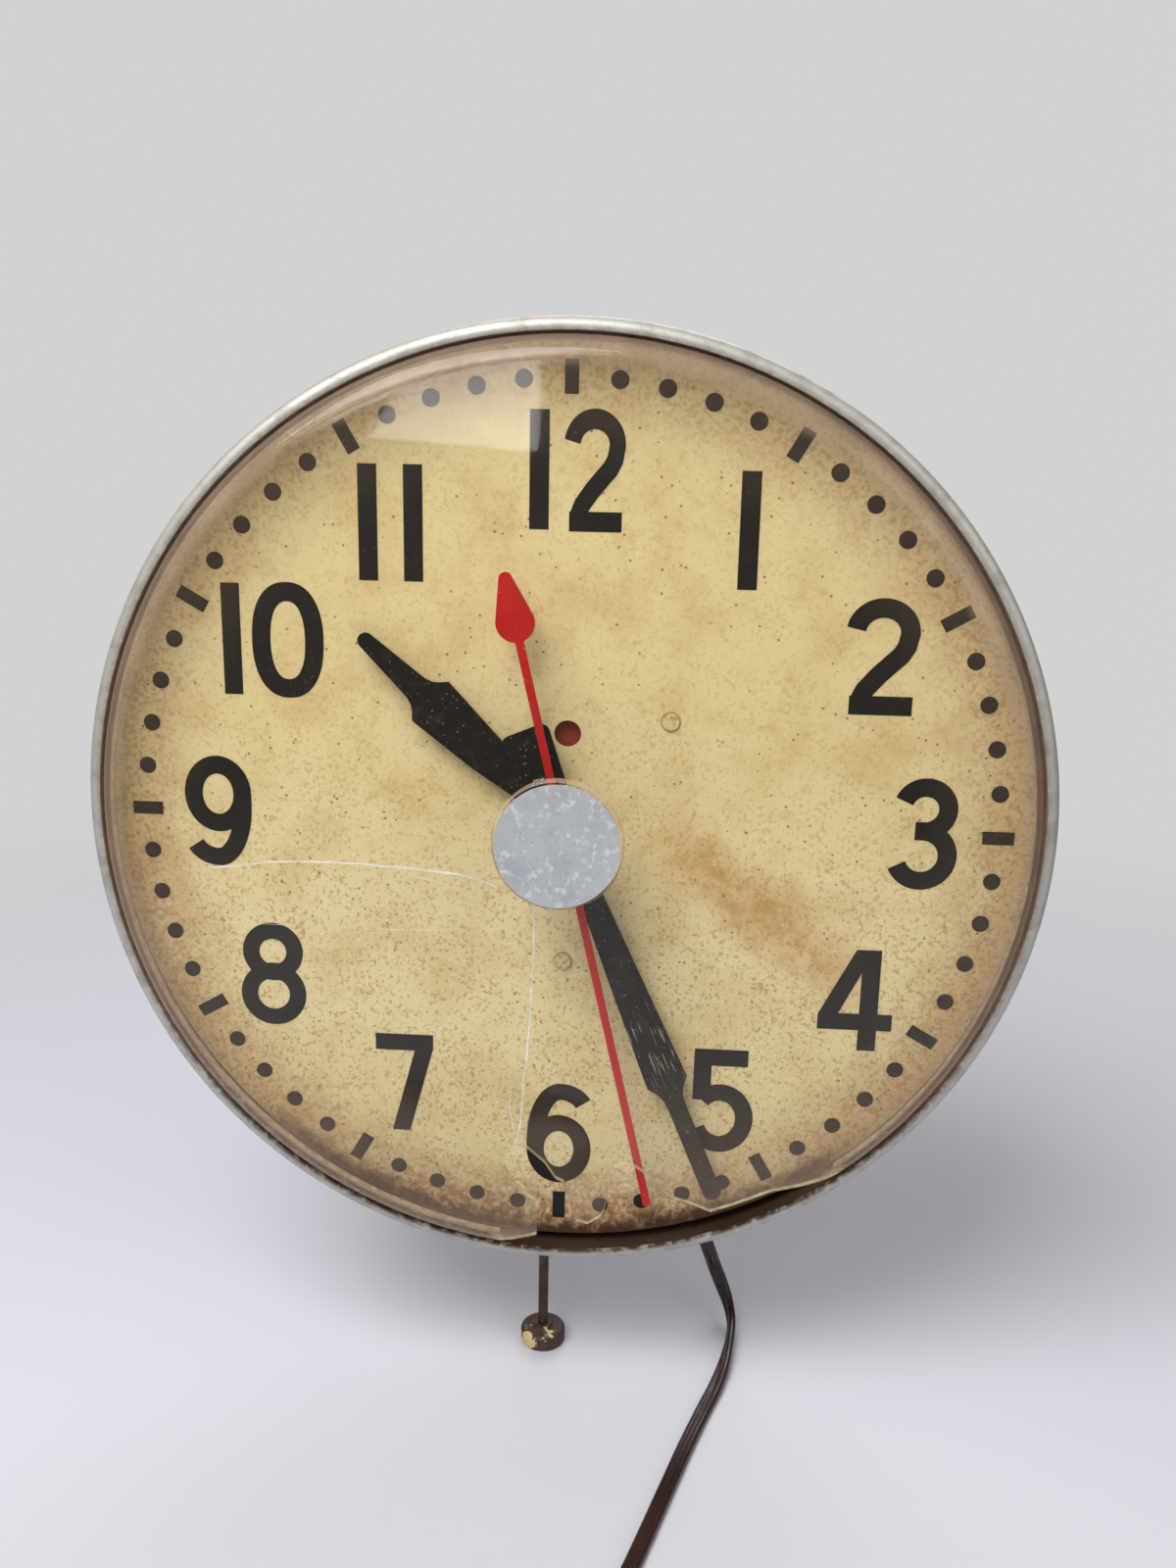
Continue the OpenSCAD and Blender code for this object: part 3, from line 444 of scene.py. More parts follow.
def slab(shapes, low, high):
    """Points and faces of flat shapes made solid between two heights."""
    flat, faces = flat_shape(shapes)
    used = sorted({i for face in faces for i in face})
    order = {old: new for new, old in enumerate(used)}
    faces = [tuple(order[i] for i in face) for face in faces]
    flat = [flat[i] for i in used]
    edges = {}
    for face in faces:
        for a, b in zip(face, face[1:] + face[:1]):
            edges[(a, b)] = edges.get((a, b), 0) + 1
    rim = [edge for edge in edges if (edge[1], edge[0]) not in edges]
    count = len(flat)
    points = [(x, y, low) for x, y in flat] + [(x, y, high) for x, y in flat]
    solid = [tuple(reversed(face)) for face in faces]
    solid += [tuple(i + count for i in face) for face in faces]
    solid += [(a, b, b + count, a + count) for a, b in rim]
    return points, solid


# %% [markdown]
# ## The plug's moulding
#
# A plug is moulded on to the cord: it swells from the cord's own width to a grip that fingers can
# hold, and ends in a flat face. A box with rounded edges couldn't follow that, so the moulding is a
# row of rings whose width, height and squareness change smoothly along it. The smooth step from
# before does the changing, and a cosine dips the grip.

# %% Plug
PLUG_X, PLUG_Y, PLUG_Z = -76.0, -223.0, 186.0
PLUG_NECK = 14.0
PLUG_LEN = 24.0
PLUG_W = 22.0
PLUG_H = 12.0
PLUG_STEPS = 40


def plug_point(out, side, up):
    """A point on the plug: out along its blades, to the side, and up."""
    return Vector((PLUG_X - out, PLUG_Y + up, PLUG_Z + side))


def plug_section(out):
    """Half width, half height and squareness of the moulding at a distance along it."""
    if out < 0:
        t = s_step(1 + out / PLUG_NECK)
        return 3.3 + (PLUG_H / 2 - 4.0) * t, 2.4 + (PLUG_H / 2 - 3.0) * t * 0.8, 2.0 + t
    t = s_step(out / (0.42 * PLUG_LEN))
    grip = 0.35 * (math.cos(math.pi * (out - 8)) - 1) if 8 < out < 18 else 0
    end = 1 - 0.12 * s_step((out - PLUG_LEN + 2) / 2)
    return ((5.3 + (PLUG_W / 2 - 5.3) * t) * end + grip,
            (4.8 + (PLUG_H / 2 - 4.8) * t) * end + grip, 3.0 + 1.2 * t)


plug_rings = []
for k in range(PLUG_STEPS * 2 + 1):
    out = -PLUG_NECK + (PLUG_NECK + PLUG_LEN) * k / (PLUG_STEPS * 2)
    wide, high, square = plug_section(out)
    section = arc((0, 0), (wide, high), 0, 351, square, 9)
    plug_rings.append([tuple(plug_point(out, u, v)) for u, v in section])
ring_size = len(plug_rings[0])
plug_points = [p for ring in plug_rings for p in ring]
plug_faces = [(k * ring_size + i, k * ring_size + (i + 1) % ring_size,
               (k + 1) * ring_size + (i + 1) % ring_size, (k + 1) * ring_size + i)
              for k in range(len(plug_rings) - 1) for i in range(ring_size)]
plug_faces += [tuple(range(ring_size)), tuple(len(plug_points) - 1 - i for i in range(ring_size))]
plug = make_piece("plug_moulding", plug_points, plug_faces, "plug_rubber", sharp=50)
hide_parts("plug_body")
print("plug rings", len(plug_rings), "of", ring_size, "points")

# %% [markdown]
# ## The blades
#
# The blades are stamped from brass strip: flat, with the corners of the tip cut off and a round hole
# that a spring in the socket drops into. A stamped part is what the slab function is for, and the
# two blades are the same slab at two distances from the middle. They reach back into the moulding,
# because metal that only touched the plastic would fall out.

# %% Blades
BLADE_W = 6.3
BLADE_T = 1.5
BLADE_SPACE = 12.7
BLADE_START = PLUG_LEN - 6
BLADE_END = PLUG_LEN + 17.0
BLADE_TIP = 1.7
BLADE_CUT = 1.6
BLADE_HOLE_R = 1.6
blade_side = [(BLADE_START, -BLADE_W / 2), (BLADE_END - BLADE_CUT, -BLADE_W / 2), (BLADE_END, -BLADE_TIP),
              (BLADE_END, BLADE_TIP), (BLADE_END - BLADE_CUT, BLADE_W / 2), (BLADE_START, BLADE_W / 2)]
blade_hole = arc((BLADE_END - 4.6, 0), (BLADE_HOLE_R, BLADE_HOLE_R), 0, 345, step=15)
blade_parts = []
for side in (-1, 1):
    middle = side * BLADE_SPACE / 2
    found, faces = slab([(blade_side, [blade_hole])], middle - BLADE_T / 2, middle + BLADE_T / 2)
    blade_parts.append(([tuple(plug_point(out, z, up)) for out, up, z in found], faces))
blades = make_piece("plug_prongs", *join(blade_parts), "brass", sharp=30)
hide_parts("plug_blades")
print("blades", len(blades.data.polygons), "faces")

# %% [markdown]
# ## The tie round the coil
#
# A twist tie keeps the spare cord wound: covered wire goes round the bundle, and its two ends are
# twisted together on top. Each half is a thin round wire, swept along points that climb one side of
# the bundle and then circle the middle line of the twist. The halves mirror each other, so one
# function with a sign makes both, and they stay half a turn apart.

# %% Coil tie
TIE_DEG = 40.0
COIL_MID_R = 33.0
COIL_HALF_W = 6.3
COIL_H = 12.4
TIE_WIRE_R = 0.45
TIE_GAP = 0.55
TWIST_R = 0.5
TWIST_STEPS = 14
tie_out = Vector((math.cos(math.radians(TIE_DEG)), 0, math.sin(math.radians(TIE_DEG))))
tie_side = Vector((-tie_out.z, 0, tie_out.x))
tie_origin = Vector((COIL_X, FLOOR_MM, COIL_Z)) + tie_out * COIL_MID_R


def tie_path(shift):
    """Half of the tie: up round the coil's section, then into a twist above it."""
    edge = COIL_HALF_W + TIE_GAP
    top = COIL_H + TIE_GAP
    loop = [(-edge, 0.7), (-edge, top - 1), (-edge + 1, top), (-1.2, top)]
    loop = [(u * shift, v) for u, v in loop]
    found = [tie_origin + tie_out * u + Vector((0, v, 0)) + tie_side * TWIST_R * shift for u, v in loop]
    for k in range(1, TWIST_STEPS + 1):
        turn = math.radians(60) * k
        lift = top + 0.2 + 0.3 * math.sin(k / TWIST_STEPS * math.pi)
        spin = TWIST_R * shift
        found.append(tie_origin + tie_side * (0.4 + 0.75 * k) + Vector((0, lift, 0))
                     + tie_out * spin * math.cos(turn) + Vector((0, spin * math.sin(turn), 0)))
    return [(*p, 0) for p in found]


WIRE_SECTION = arc((0, 0), (1, 1), 0, 315, step=45)
tie_parts = []
for shift in (-1, 1):
    route = [p.xyz for p in smooth_route(tie_path(shift), 3)]
    rings = []
    for k, here in enumerate(route):
        along = (route[min(k + 1, len(route) - 1)] - route[max(k - 1, 0)]).normalized()
        wide = along.cross(Vector((0.31, 0.2, 0.93))).normalized()
        rings.append((here, wide * TIE_WIRE_R, along.cross(wide) * TIE_WIRE_R))
    tie_parts.append(sweep(rings, WIRE_SECTION))
tie = make_piece("coil_tie", *join(tie_parts), "tie_wire", sharp=60)
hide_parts("cord_tie")
print("tie", len(tie.data.vertices), "points")

# %% [markdown]
# ## Where the cord leaves the case
#
# A cord isn't a rigid part: whoever uses this clock may lead it elsewhere. This cell works out the
# point where it leaves the case, the first point of its route, and does nothing more with it.

place(57.4, -184.6, -38)

# %% [markdown]
# ## The floor
#
# A product is shown on a pale surface. The floor is one large disc at the height of the lowest piece
# of the clock, taken from the box that was measured at the start. A plane would do as well, but a
# disc ends at the same distance all round, so that its finish can fade out evenly. It belongs to the
# stage, and not to the clock.

# %% Floor
floor_z = cad_box[0].z
FLOOR_R = 4.0
FLOOR_SIDES = 96
floor_turns = [2 * math.pi * k / FLOOR_SIDES for k in range(FLOOR_SIDES)]
floor_ring = [(FLOOR_R * math.cos(a), FLOOR_R * math.sin(a), floor_z) for a in floor_turns]
floor_mesh = bpy.data.meshes.new("floor")
floor_mesh.from_pydata(floor_ring, [], [tuple(range(FLOOR_SIDES))])
floor = bpy.data.objects.new("floor", floor_mesh)
bpy.context.scene.collection.objects.link(floor)
floor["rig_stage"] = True
print("floor at", round(floor_z, 3))

# %% [markdown]
# ## The lamps
#
# Three soft lamps light the clock: the strongest from above on the left, a weaker one on the right
# that fills the shadows, and one from behind that draws its outline. Large square lamps give the
# soft shadows that a window gives; a point lamp would draw hard ones. A weak panel gives almost no
# light; it is there to be mirrored, since a highlight shows that a dome is a dome.

# %% Lamps
def srgb(red, green, blue):
    """A colour as a paint chart gives it, 0 to 255, turned into the linear light that shaders use."""
    def linear(c):
        c = c / 255
        return c / 12.92 if c <= 0.04045 else ((c + 0.055) / 1.055) ** 2.4
    return (linear(red), linear(green), linear(blue), 1.0)


def lamp(name, position, target, size, power, tint=(1, 1, 1)):
    """A square soft lamp that faces a target."""
    data = bpy.data.lights.new(name, "AREA")
    data.shape = "RECTANGLE"
    data.size, data.size_y = size
    data.energy = power
    data.color = tint
    made = bpy.data.objects.new(name, data)
    made.location = position
    made.rotation_mode = "QUATERNION"
    made.rotation_quaternion = (Vector(target) - Vector(position)).to_track_quat("-Z", "Y")
    made.visible_camera = False
    bpy.context.scene.collection.objects.link(made)
    return made


aim = place(0, -20, 0)  # a little below the dial's centre
lamp("key_light", aim + Vector((-0.55, -0.75, 1.25)), aim, (1.1, 0.8), 33)
lamp("fill_light", aim + Vector((1.5, -1.1, 0.9)), aim, (1.2, 1.2), 9, (1.0, 0.99, 0.97))
lamp("back_light", aim + Vector((0.2, 1.6, 1.4)), aim, (1.6, 1.0), 17, (0.98, 0.99, 1.0))
lamp("ceiling_panel", place(-400, 500, 1180), place(0, 60, 0), (0.5, 0.15), 1.5)
bpy.context.scene.view_settings.view_transform = "Standard"

# %% [markdown]
# ## The sky
#
# The camera sees a pale sky, while the light that falls on the clock comes from a dimmer one. Shiny
# things mirror a dimmer one still: a room in front of a clock is darker than its walls, and that is
# what keeps the black numbers black under the crystal. One sky for all three would be simpler, but
# bright enough to look at it would wash the dial out. The Light Path node tells which kind of ray
# has arrived.

# %% Sky
world = bpy.data.worlds.new("studio")
bpy.context.scene.world = world
world.use_nodes = True
sky = world.node_tree
sky.nodes.clear()


def background(color, strength):
    """A plain sky of one colour and strength."""
    made = sky.nodes.new("ShaderNodeBackground")
    made.inputs["Color"].default_value = color
    made.inputs["Strength"].default_value = strength
    return made


seen = background(srgb(210, 210, 208), 1.0)
lit = background((0.93, 0.95, 1.0, 1), 0.3)
mirrored = background((0.95, 0.96, 1.0, 1), 0.13)
which = sky.nodes.new("ShaderNodeLightPath")
blend = sky.nodes.new("ShaderNodeMixShader")
indoors = sky.nodes.new("ShaderNodeMixShader")
sky_out = sky.nodes.new("ShaderNodeOutputWorld")
sky.links.new(which.outputs["Is Camera Ray"], blend.inputs[0])
sky.links.new(which.outputs["Is Glossy Ray"], indoors.inputs[0])
sky.links.new(lit.outputs[0], indoors.inputs[1])
sky.links.new(mirrored.outputs[0], indoors.inputs[2])
sky.links.new(indoors.outputs[0], blend.inputs[1])
sky.links.new(seen.outputs[0], blend.inputs[2])
sky.links.new(blend.outputs[0], sky_out.inputs[0])
print("sky nodes", len(sky.nodes))

# %% [markdown]
# ## The rolled rim
#
# The rim is a ring of thin metal whose front edge is rolled over, so that it is round to the hand and
# holds the crystal in. On the lathe it is one outline: up the outside, round the roll, then a small
# return down to the glass, and back along the inside at the thickness of the sheet. Turning the two
# arcs about the same centre keeps the sheet even all the way.

# %% Rim
BAND_R = 170.7
BAND_WALL = 1.2
ROLL_X = 167.0
ROLL_Z = 5.5
ROLL_R = 3.7
BAND_BACK = -14.0
rim_outline = [(BAND_R - 0.35, BAND_BACK), (BAND_R, BAND_BACK + 0.4)]
rim_outline += arc((ROLL_X, ROLL_Z), (ROLL_R, ROLL_R), 0, 104, step=8)
rim_outline += arc((ROLL_X, ROLL_Z), (ROLL_R - BAND_WALL, ROLL_R - BAND_WALL), 111, 0, step=9)
rim_outline += [(BAND_R - BAND_WALL, BAND_BACK + 0.4), (BAND_R - BAND_WALL + 0.3, BAND_BACK)]
rim = make_piece("rolled_rim", *lathe(rim_outline, 256), "band_aluminium", sharp=50)
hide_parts("front_band")
print("rim", len(rim.data.vertices), "points")

# %% [markdown]
# ## The domed crystal, with a piece broken out
#
# The front is one moulding of clear plastic: a flange under the rim, a rounded shoulder, a shallow
# dome and a raised boss in the middle. It is turned as a thin shell of even thickness. A piece has
# broken out of its lower part, so a prism with the broken outline is taken away by a Boolean
# modifier. Cutting a real shell gives real, thick, catching edges, which a painted hole never has.

# %% Crystal shell
GLASS_WALL = 2.0
DOME_R = 1210.9
DOME_EDGE_R = 155.3
DOME_EDGE_Z = 15.5
SHOULDER = 10.0
BOSS_R = 22.4
BOSS_Z = 30.9
FLANGE_R = 169.0
FLANGE_Z = (3.5, 5.5)


def dome_z(radius):
    """Height of the dome's outer face at a radius."""
    drop = math.sqrt(DOME_R ** 2 - radius ** 2) - math.sqrt(DOME_R ** 2 - DOME_EDGE_R ** 2)
    return DOME_EDGE_Z + drop


dome_steps = [DOME_EDGE_R - (DOME_EDGE_R - BOSS_R) * k / 14 for k in range(1, 15)]
outer = [(FLANGE_R, FLANGE_Z[0]), (FLANGE_R, FLANGE_Z[1]), (165.9, FLANGE_Z[1]), (165.3, 6.0)]
outer += arc((DOME_EDGE_R, DOME_EDGE_Z - SHOULDER), (SHOULDER, SHOULDER), 6, 90, step=7)
outer += [(r, dome_z(r)) for r in dome_steps[:-1]] + [(BOSS_R + 0.6, dome_z(BOSS_R))]
outer += [(BOSS_R, dome_z(BOSS_R) + 0.6)]
outer += arc((BOSS_R - 0.8, BOSS_Z - 0.8), (0.8, 0.8), 0, 90, step=30) + [(0, BOSS_Z)]
inner = [(0, BOSS_Z - GLASS_WALL), (BOSS_R - GLASS_WALL, BOSS_Z - GLASS_WALL)]
inner += [(BOSS_R - GLASS_WALL, dome_z(BOSS_R) - GLASS_WALL)]
inner += [(r, dome_z(r) - GLASS_WALL) for r in reversed(dome_steps[:-1])]
inner += arc((DOME_EDGE_R, DOME_EDGE_Z - SHOULDER), (SHOULDER - GLASS_WALL,) * 2, 90, 6, step=7)
inner += [(DOME_EDGE_R + SHOULDER - GLASS_WALL, FLANGE_Z[0])]
crystal = make_solid("domed_crystal", *lathe(outer + inner, 256), sharp=25)
print("whole crystal", len(crystal.data.polygons), "faces")

# %% [markdown]
# ## The broken edge
#
# Old plastic breaks in long runs with small hooks, where a crack has turned back. The outline of the
# hole is a list of points, chosen as one would sketch it. Points outside the lip are pulled
# in to a circle that the rim hides, so that the flange stays whole and the crystal still sits in its
# seat. The Boolean uses the exact solver, because the fast one fails where faces almost meet.

# %% Break-out
BREAK = [
    (-27, -163.9), (-19, -160.4), (-7, -156), (-7.2, -150), (-8, -141), (-13.5, -136), (-17.2, -130.6),
    (-19, -126), (-17.4, -120.3), (-15, -117), (-10, -118.5), (-4, -124), (0, -130.5), (3, -132),
    (5, -139), (6.2, -144.4), (8, -149), (12, -150), (17, -146.5), (18.6, -142), (19.5, -138),
    (19, -130.5), (22, -124), (26.5, -123), (30, -124.5), (34.5, -128), (40, -135), (44.2, -137.4),
    (49.5, -139), (57.5, -142.5), (68, -138.2), (79, -133), (92, -129.9), (106, -126), (140, -160),
    (60, -200), (-33, -200.4),
]
LIP_R = 166
BREAK_Z = (-1.0, 30.0)
BREAK_LIMIT = 166.1


def within(point, limit):
    """The point, pulled in to a circle about the dial's centre."""
    far = math.hypot(*point)
    return point if far <= limit else (point[0] * limit / far, point[1] * limit / far)


def between(a, b, count):
    """Points from a up to b, without b."""
    return [(a[0] + (b[0] - a[0]) * k / count, a[1] + (b[1] - a[1]) * k / count) for k in range(count)]


break_line = []
for a, b in zip(BREAK, BREAK[1:] + BREAK[:1]):
    steps = 1 if max(math.hypot(*a), math.hypot(*b)) < LIP_R else 8
    break_line += between(a, b, steps)
break_line = [within(p, BREAK_LIMIT) for p in break_line]
break_line = [p for k, p in enumerate(break_line) if math.dist(p, break_line[k - 1]) > 0.05]
cutter = make_solid("break_cutter", *slab([(break_line, [])], *BREAK_Z))
cut = crystal.modifiers.new("break", "BOOLEAN")
cut.operation = "DIFFERENCE"
cut.solver = "EXACT"
cut.object = cutter
bpy.context.view_layer.update()
graph = bpy.context.evaluated_depsgraph_get()
broken = bpy.data.meshes.new_from_object(crystal.evaluated_get(graph))
crystal.modifiers.clear()
crystal.data = broken
bpy.data.objects.remove(cutter)
broken.set_sharp_from_angle(angle=math.radians(25))  # the cut made new edges
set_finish(crystal, "clear_plastic")
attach(crystal, "case")
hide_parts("crystal")
print("crystal faces", len(broken.polygons))

# %% [markdown]
# ## Strokes, rings and bars
#
# The dial is printed, so its marks lie on the paint with almost no height. A texture image could
# hold them, but shapes stay sharp from any distance and can be changed by number. They are drawn the
# way a sign painter does it, as strokes of one width along lines and arcs. The corners of a stroke
# are mitred: the sides of the two parts are carried on until they meet.

# %% Strokes
def stroke(line, width):
    """The outline of a stroke of one width along a line, with mitred corners."""
    line = [Vector(p) for p in line]
    left, right = [], []
    for k, here in enumerate(line):
        before = (here - line[k - 1]).normalized() if k else None
        after = (line[k + 1] - here).normalized() if k + 1 < len(line) else None
        way = ((before or after) + (after or before)).normalized()
        square = Vector((-way.y, way.x))
        lean = square.dot(Vector((-(after or before).y, (after or before).x)))
        reach = width / 2 / max(lean, 0.5)
        left.append(tuple(here + square * reach))
        right.append(tuple(here - square * reach))
    return left + right[::-1]


def ring(centre, radii, width, power=2.0):
    """An upright ring as an outline and its hole."""
    out = arc(centre, (radii[0] + width / 2, radii[1] + width / 2), 0, 354, power, 6)
    hole = arc(centre, (radii[0] - width / 2, radii[1] - width / 2), 0, 354, power, 6)
    return out, [hole]


def bar(x, y, wide, high, turn=0.0):
    """A rectangle about a point, turned clockwise by an angle in degrees."""
    c, s = math.cos(math.radians(turn)), math.sin(math.radians(turn))
    corners = [(-wide / 2, -high / 2), (wide / 2, -high / 2), (wide / 2, high / 2), (-wide / 2, high / 2)]
    return [(x + u * c + v * s, y - u * s + v * c) for u, v in corners]


# %% [markdown]
# ## Drawing the figures
#
# Each figure is drawn once, on a small sheet of its own with its lower left corner at zero, in plain
# millimetres: its width, its height, and its shapes with their holes. Round figures are rings and
# strokes; the one, the four and the seven are cut outlines. The nine is the six turned half round,
# as on many dials. A font would be quicker, but its figures would not be these.

# %% Figures
STROKE = 6.6
two_line = arc((12.1, 28.4), (9.2, 8.5), 172, 0) + [
    (20.4, 23.9), (18.6, 20.9), (15.9, 18.3), (11.2, 13.6), (7.2, 8.9), (5.9, 6.2), (5.3, 3.4)]
three_top = arc((11.24, 29.3), (7.92, 7.92), 160, -90) + [(8.15, 21.4)]
three_low = [(8.15, 21.4)] + arc((10.96, 12.3), (9.1, 9.1), 90, -157)
five_line = [(20.1, 38.4), (3.5, 38.4), (3.3, 21.1)]
five_bowl = arc((10.3, 13.8), (9.3, 10.6), 137, -156)
six_hook = arc((13.2, 29.5), (9.4, 8.25), 26, 90) + arc((13.2, 17.8), (9.55, 20), 94, 180) + [(3.65, 14)]
FIGURES = {
    "0": (25.3, 40.5, [ring((12.65, 20.25), (9.46, 17.0), STROKE, 2.3)]),
    "1": (6.6, 39.2, [([(0, 0), (6.6, 0), (6.6, 39.2), (0, 39.2)], [])]),
    "2": (24.5, 40.3, [(stroke(two_line, STROKE), []), (stroke([(2.0, 3.4), (23.6, 3.4)], STROKE), [])]),
    "3": (23.4, 40.3, [(stroke(three_top, STROKE), []), (stroke(three_low, STROKE), [])]),
    "4": (26.9, 39.1, [([(0, 8), (0, 13.8), (12.6, 39.1), (21.55, 39.1), (21.55, 14.4), (26.9, 14.4),
                         (26.9, 8), (21.55, 8), (21.55, 0), (14.9, 0), (14.9, 8)],
                        [[(7.4, 14.4), (14.9, 14.4), (14.9, 30.2)]])]),
    "5": (23.0, 41.8, [(stroke(five_line, STROKE), []), (stroke(five_bowl, STROKE), [])]),
    "6": (24.8, 41.0, [ring((12.6, 14.0), (8.95, 10.8), STROKE), (stroke(six_hook, STROKE), [])]),
    "7": (21.8, 39.5, [([(0, 39.5), (21.8, 39.5), (21.8, 33.9), (12.7, 0), (5.9, 0), (14.8, 33), (0, 33)],
                        [])]),
    "8": (24.7, 40.3, [ring((12.56, 28.9), (8.2, 8.2), 6.3), ring((12.37, 12.2), (9.2, 9.2), 6.3)]),
}


def figure(digit, x, y, wide=None):
    """The shapes of one figure, centred on a place of the dial."""
    turned = digit == "9"
    width, height, shapes = FIGURES["6" if turned else digit]
    scale = (wide or width) / width
    sign = -1 if turned else 1

    def put(p):
        """A point of the figure, on the dial."""
        return (x + sign * (p[0] - width / 2) * scale, y + sign * (p[1] - height / 2))
    return [([put(p) for p in outline], [[put(p) for p in hole] for hole in holes])
            for outline, holes in shapes]


print("figures", "".join(FIGURES))

# %% [markdown]
# ## Printing the dial
#
# A dial is printed in one pass, so all of its ink is one piece: figures at their places, a bar at
# every fifth minute, and round dots between. Six degrees are one minute, so a loop sets the sixty
# marks. The ink has a real, tiny thickness, because two faces at the very same height flicker.

# %% Print the dial
NUMBERS = [
    ("1", -10.5, 122.3, None), ("2", 8.2, 122.3, 20.2), ("1", 60.6, 103.7, None),
    ("2", 107.6, 62.5, None), ("3", 127, 0.4, None), ("4", 107.3, -63, None),
    ("5", 61, -105.6, None), ("6", -0.6, -122.3, None), ("7", -59.2, -104.3, None),
    ("8", -108.5, -62.6, None), ("9", -126, -0.4, None), ("1", -118.5, 62.5, None),
    ("0", -98.5, 62.5, None), ("1", -69.3, 103.7, None), ("1", -53.6, 103.7, None),
]
TRACK_R = 152.4
DOT_R = 3.05
BAR_W, BAR_H = 4.7, 11.1
INK = 0.12
ink_shapes = []
for digit, x, y, wide in NUMBERS:
    ink_shapes += figure(digit, x, y, wide)
for minute in range(60):
    angle = math.radians(6 * minute)
    x, y = TRACK_R * math.sin(angle), TRACK_R * math.cos(angle)
    if minute % 5:
        ink_shapes.append((arc((x, y), (DOT_R, DOT_R), 0, 345, step=15), []))
    else:
        ink_shapes.append((bar(x, y, BAR_W, BAR_H, 6 * minute), []))
numbers = make_piece("dial_print", *slab(ink_shapes, 0.0, INK), "dial_paint", sharp=30)
print("printed shapes", len(ink_shapes), "faces", len(numbers.data.polygons))

# %% [markdown]
# ## Hands
#
# The hands are blanked from thin sheet, so each is a flat outline with thickness and a slightly
# rounded edge. Outlines are given along the hand from its pivot, with half the width at each place;
# the mirror image gives the other side, so a hand can't come out lopsided. Pointing a hand to a time
# is then one turn, measured clockwise from the twelve.

# %% Hand outlines
HOUR_DEG = 312.5
MINUTE_DEG = 157.3
SECOND_DEG = 166.7
HOUR_Z = (4.5, 5.5)
MINUTE_Z = (7.5, 8.5)
SECOND_Z = (10.5, 11.3)
HOUR_BORE_R = 3.42
MINUTE_BORE_R = 2.21
SECOND_BORE_R = 1.0
HUB_R = 8.0
SECOND_HUB_R = 5.0
HAND_EDGE = 0.18


def turned_to(points, angle):
    """Points across and along a hand, turned clockwise to its time."""
    a = math.radians(angle)
    return [(u * math.cos(a) + v * math.sin(a), v * math.cos(a) - u * math.sin(a)) for u, v in points]


def both_sides(half):
    """A whole outline from (along, half width) pairs that start and end on the middle line."""
    right = [(w, v) for v, w in half]
    left = [(-w, v) for v, w in reversed(half) if w > 1e-6]
    return right + left


def clean(outline):
    """The outline without points that fall on each other."""
    return [p for k, p in enumerate(outline) if math.dist(p, outline[k - 1]) > 1e-3]


def soften(piece, width):
    """Join the flat triangles of a piece into whole faces, then round its edges."""
    work = bmesh.new()
    work.from_mesh(piece.data)
    bmesh.ops.dissolve_limit(work, angle_limit=math.radians(0.5), verts=work.verts, edges=work.edges)
    work.to_mesh(piece.data)
    work.free()
    bevel = piece.modifiers.new("edge", "BEVEL")
    bevel.width = width * MM
    bevel.segments = 2
    bevel.limit_method = "ANGLE"
    bevel.angle_limit = math.radians(50)
    bevel.harden_normals = True


def hand(name, half, hub_r, bore_r, low, high, angle, slot, body):
    """One sheet hand with its hub disc and bore."""
    bore = arc((0, 0), (bore_r, bore_r), 0, 352, step=8)
    shapes = [(turned_to(clean(both_sides(half)), angle), [bore]),
              (arc((0, 0), (hub_r, hub_r), 0, 354, step=6), [bore])]
    piece = make_piece(name, *slab(shapes, low, high), slot, body, sharp=30)
    soften(piece, HAND_EDGE)
    print(name, "faces", len(piece.data.polygons))
    return piece


tip_hour = [(94.5 + 2.8 * math.cos(math.radians(a)), 2.8 * math.sin(math.radians(a)))
            for a in range(0, 81, 10)]
hour_half = [(7.0, 0.0), (7.0, 4.0), (21.0, 4.7), (37.0, 7.3), (63.2, 9.5), (64.0, 9.6), (64.9, 8.7),
             (66.2, 7.2), (68.2, 5.6), (71.0, 4.65)] + tip_hour[::-1]
tip_minute = [(150.1 + 3.4 * math.cos(math.radians(a)), 3.4 * math.sin(math.radians(a)))
              for a in range(0, 91, 10)]
minute_half = [(-37.5, 0.0), (-37.5, 5.9), (-37.1, 7.4), (-36.0, 8.5), (-34.5, 8.75), (-15.3, 7.3),
               (-7.0, 5.2), (7.0, 3.7), (12.0, 3.7), (32.0, 4.6), (103.0, 7.75), (104.0, 7.0),
               (106.5, 5.1), (109.6, 3.8), (113.5, 3.4)] + tip_minute[::-1]
drop_far = [(-91.3 + 2.3 - 2.3 * math.cos(math.radians(a)), 2.3 * math.sin(math.radians(a)))
            for a in range(0, 76, 15)]
drop_near = [(-74 + 6.75 * math.cos(math.radians(a)), 6.75 * math.sin(math.radians(a)))
             for a in range(105, 9, -10)]
second_half = drop_far + drop_near + [(-67.3, 1.5), (0.0, 1.4), (31.0, 1.3), (147.9, 1.45), (147.9, 0.0)]
hour_piece = hand("hour_sheet", hour_half, HUB_R, HOUR_BORE_R, *HOUR_Z, HOUR_DEG, "hand_black",
                  "hour_hand_set")
minute_piece = hand("minute_sheet", minute_half, HUB_R, MINUTE_BORE_R, *MINUTE_Z, MINUTE_DEG,
                    "hand_black", "minute_hand_set")
second_piece = hand("second_sheet", second_half, SECOND_HUB_R, SECOND_BORE_R, *SECOND_Z, SECOND_DEG,
                    "hand_red", "second_hand_set")
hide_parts("hour_hand")
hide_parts("minute_hand")
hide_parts("second_hand")
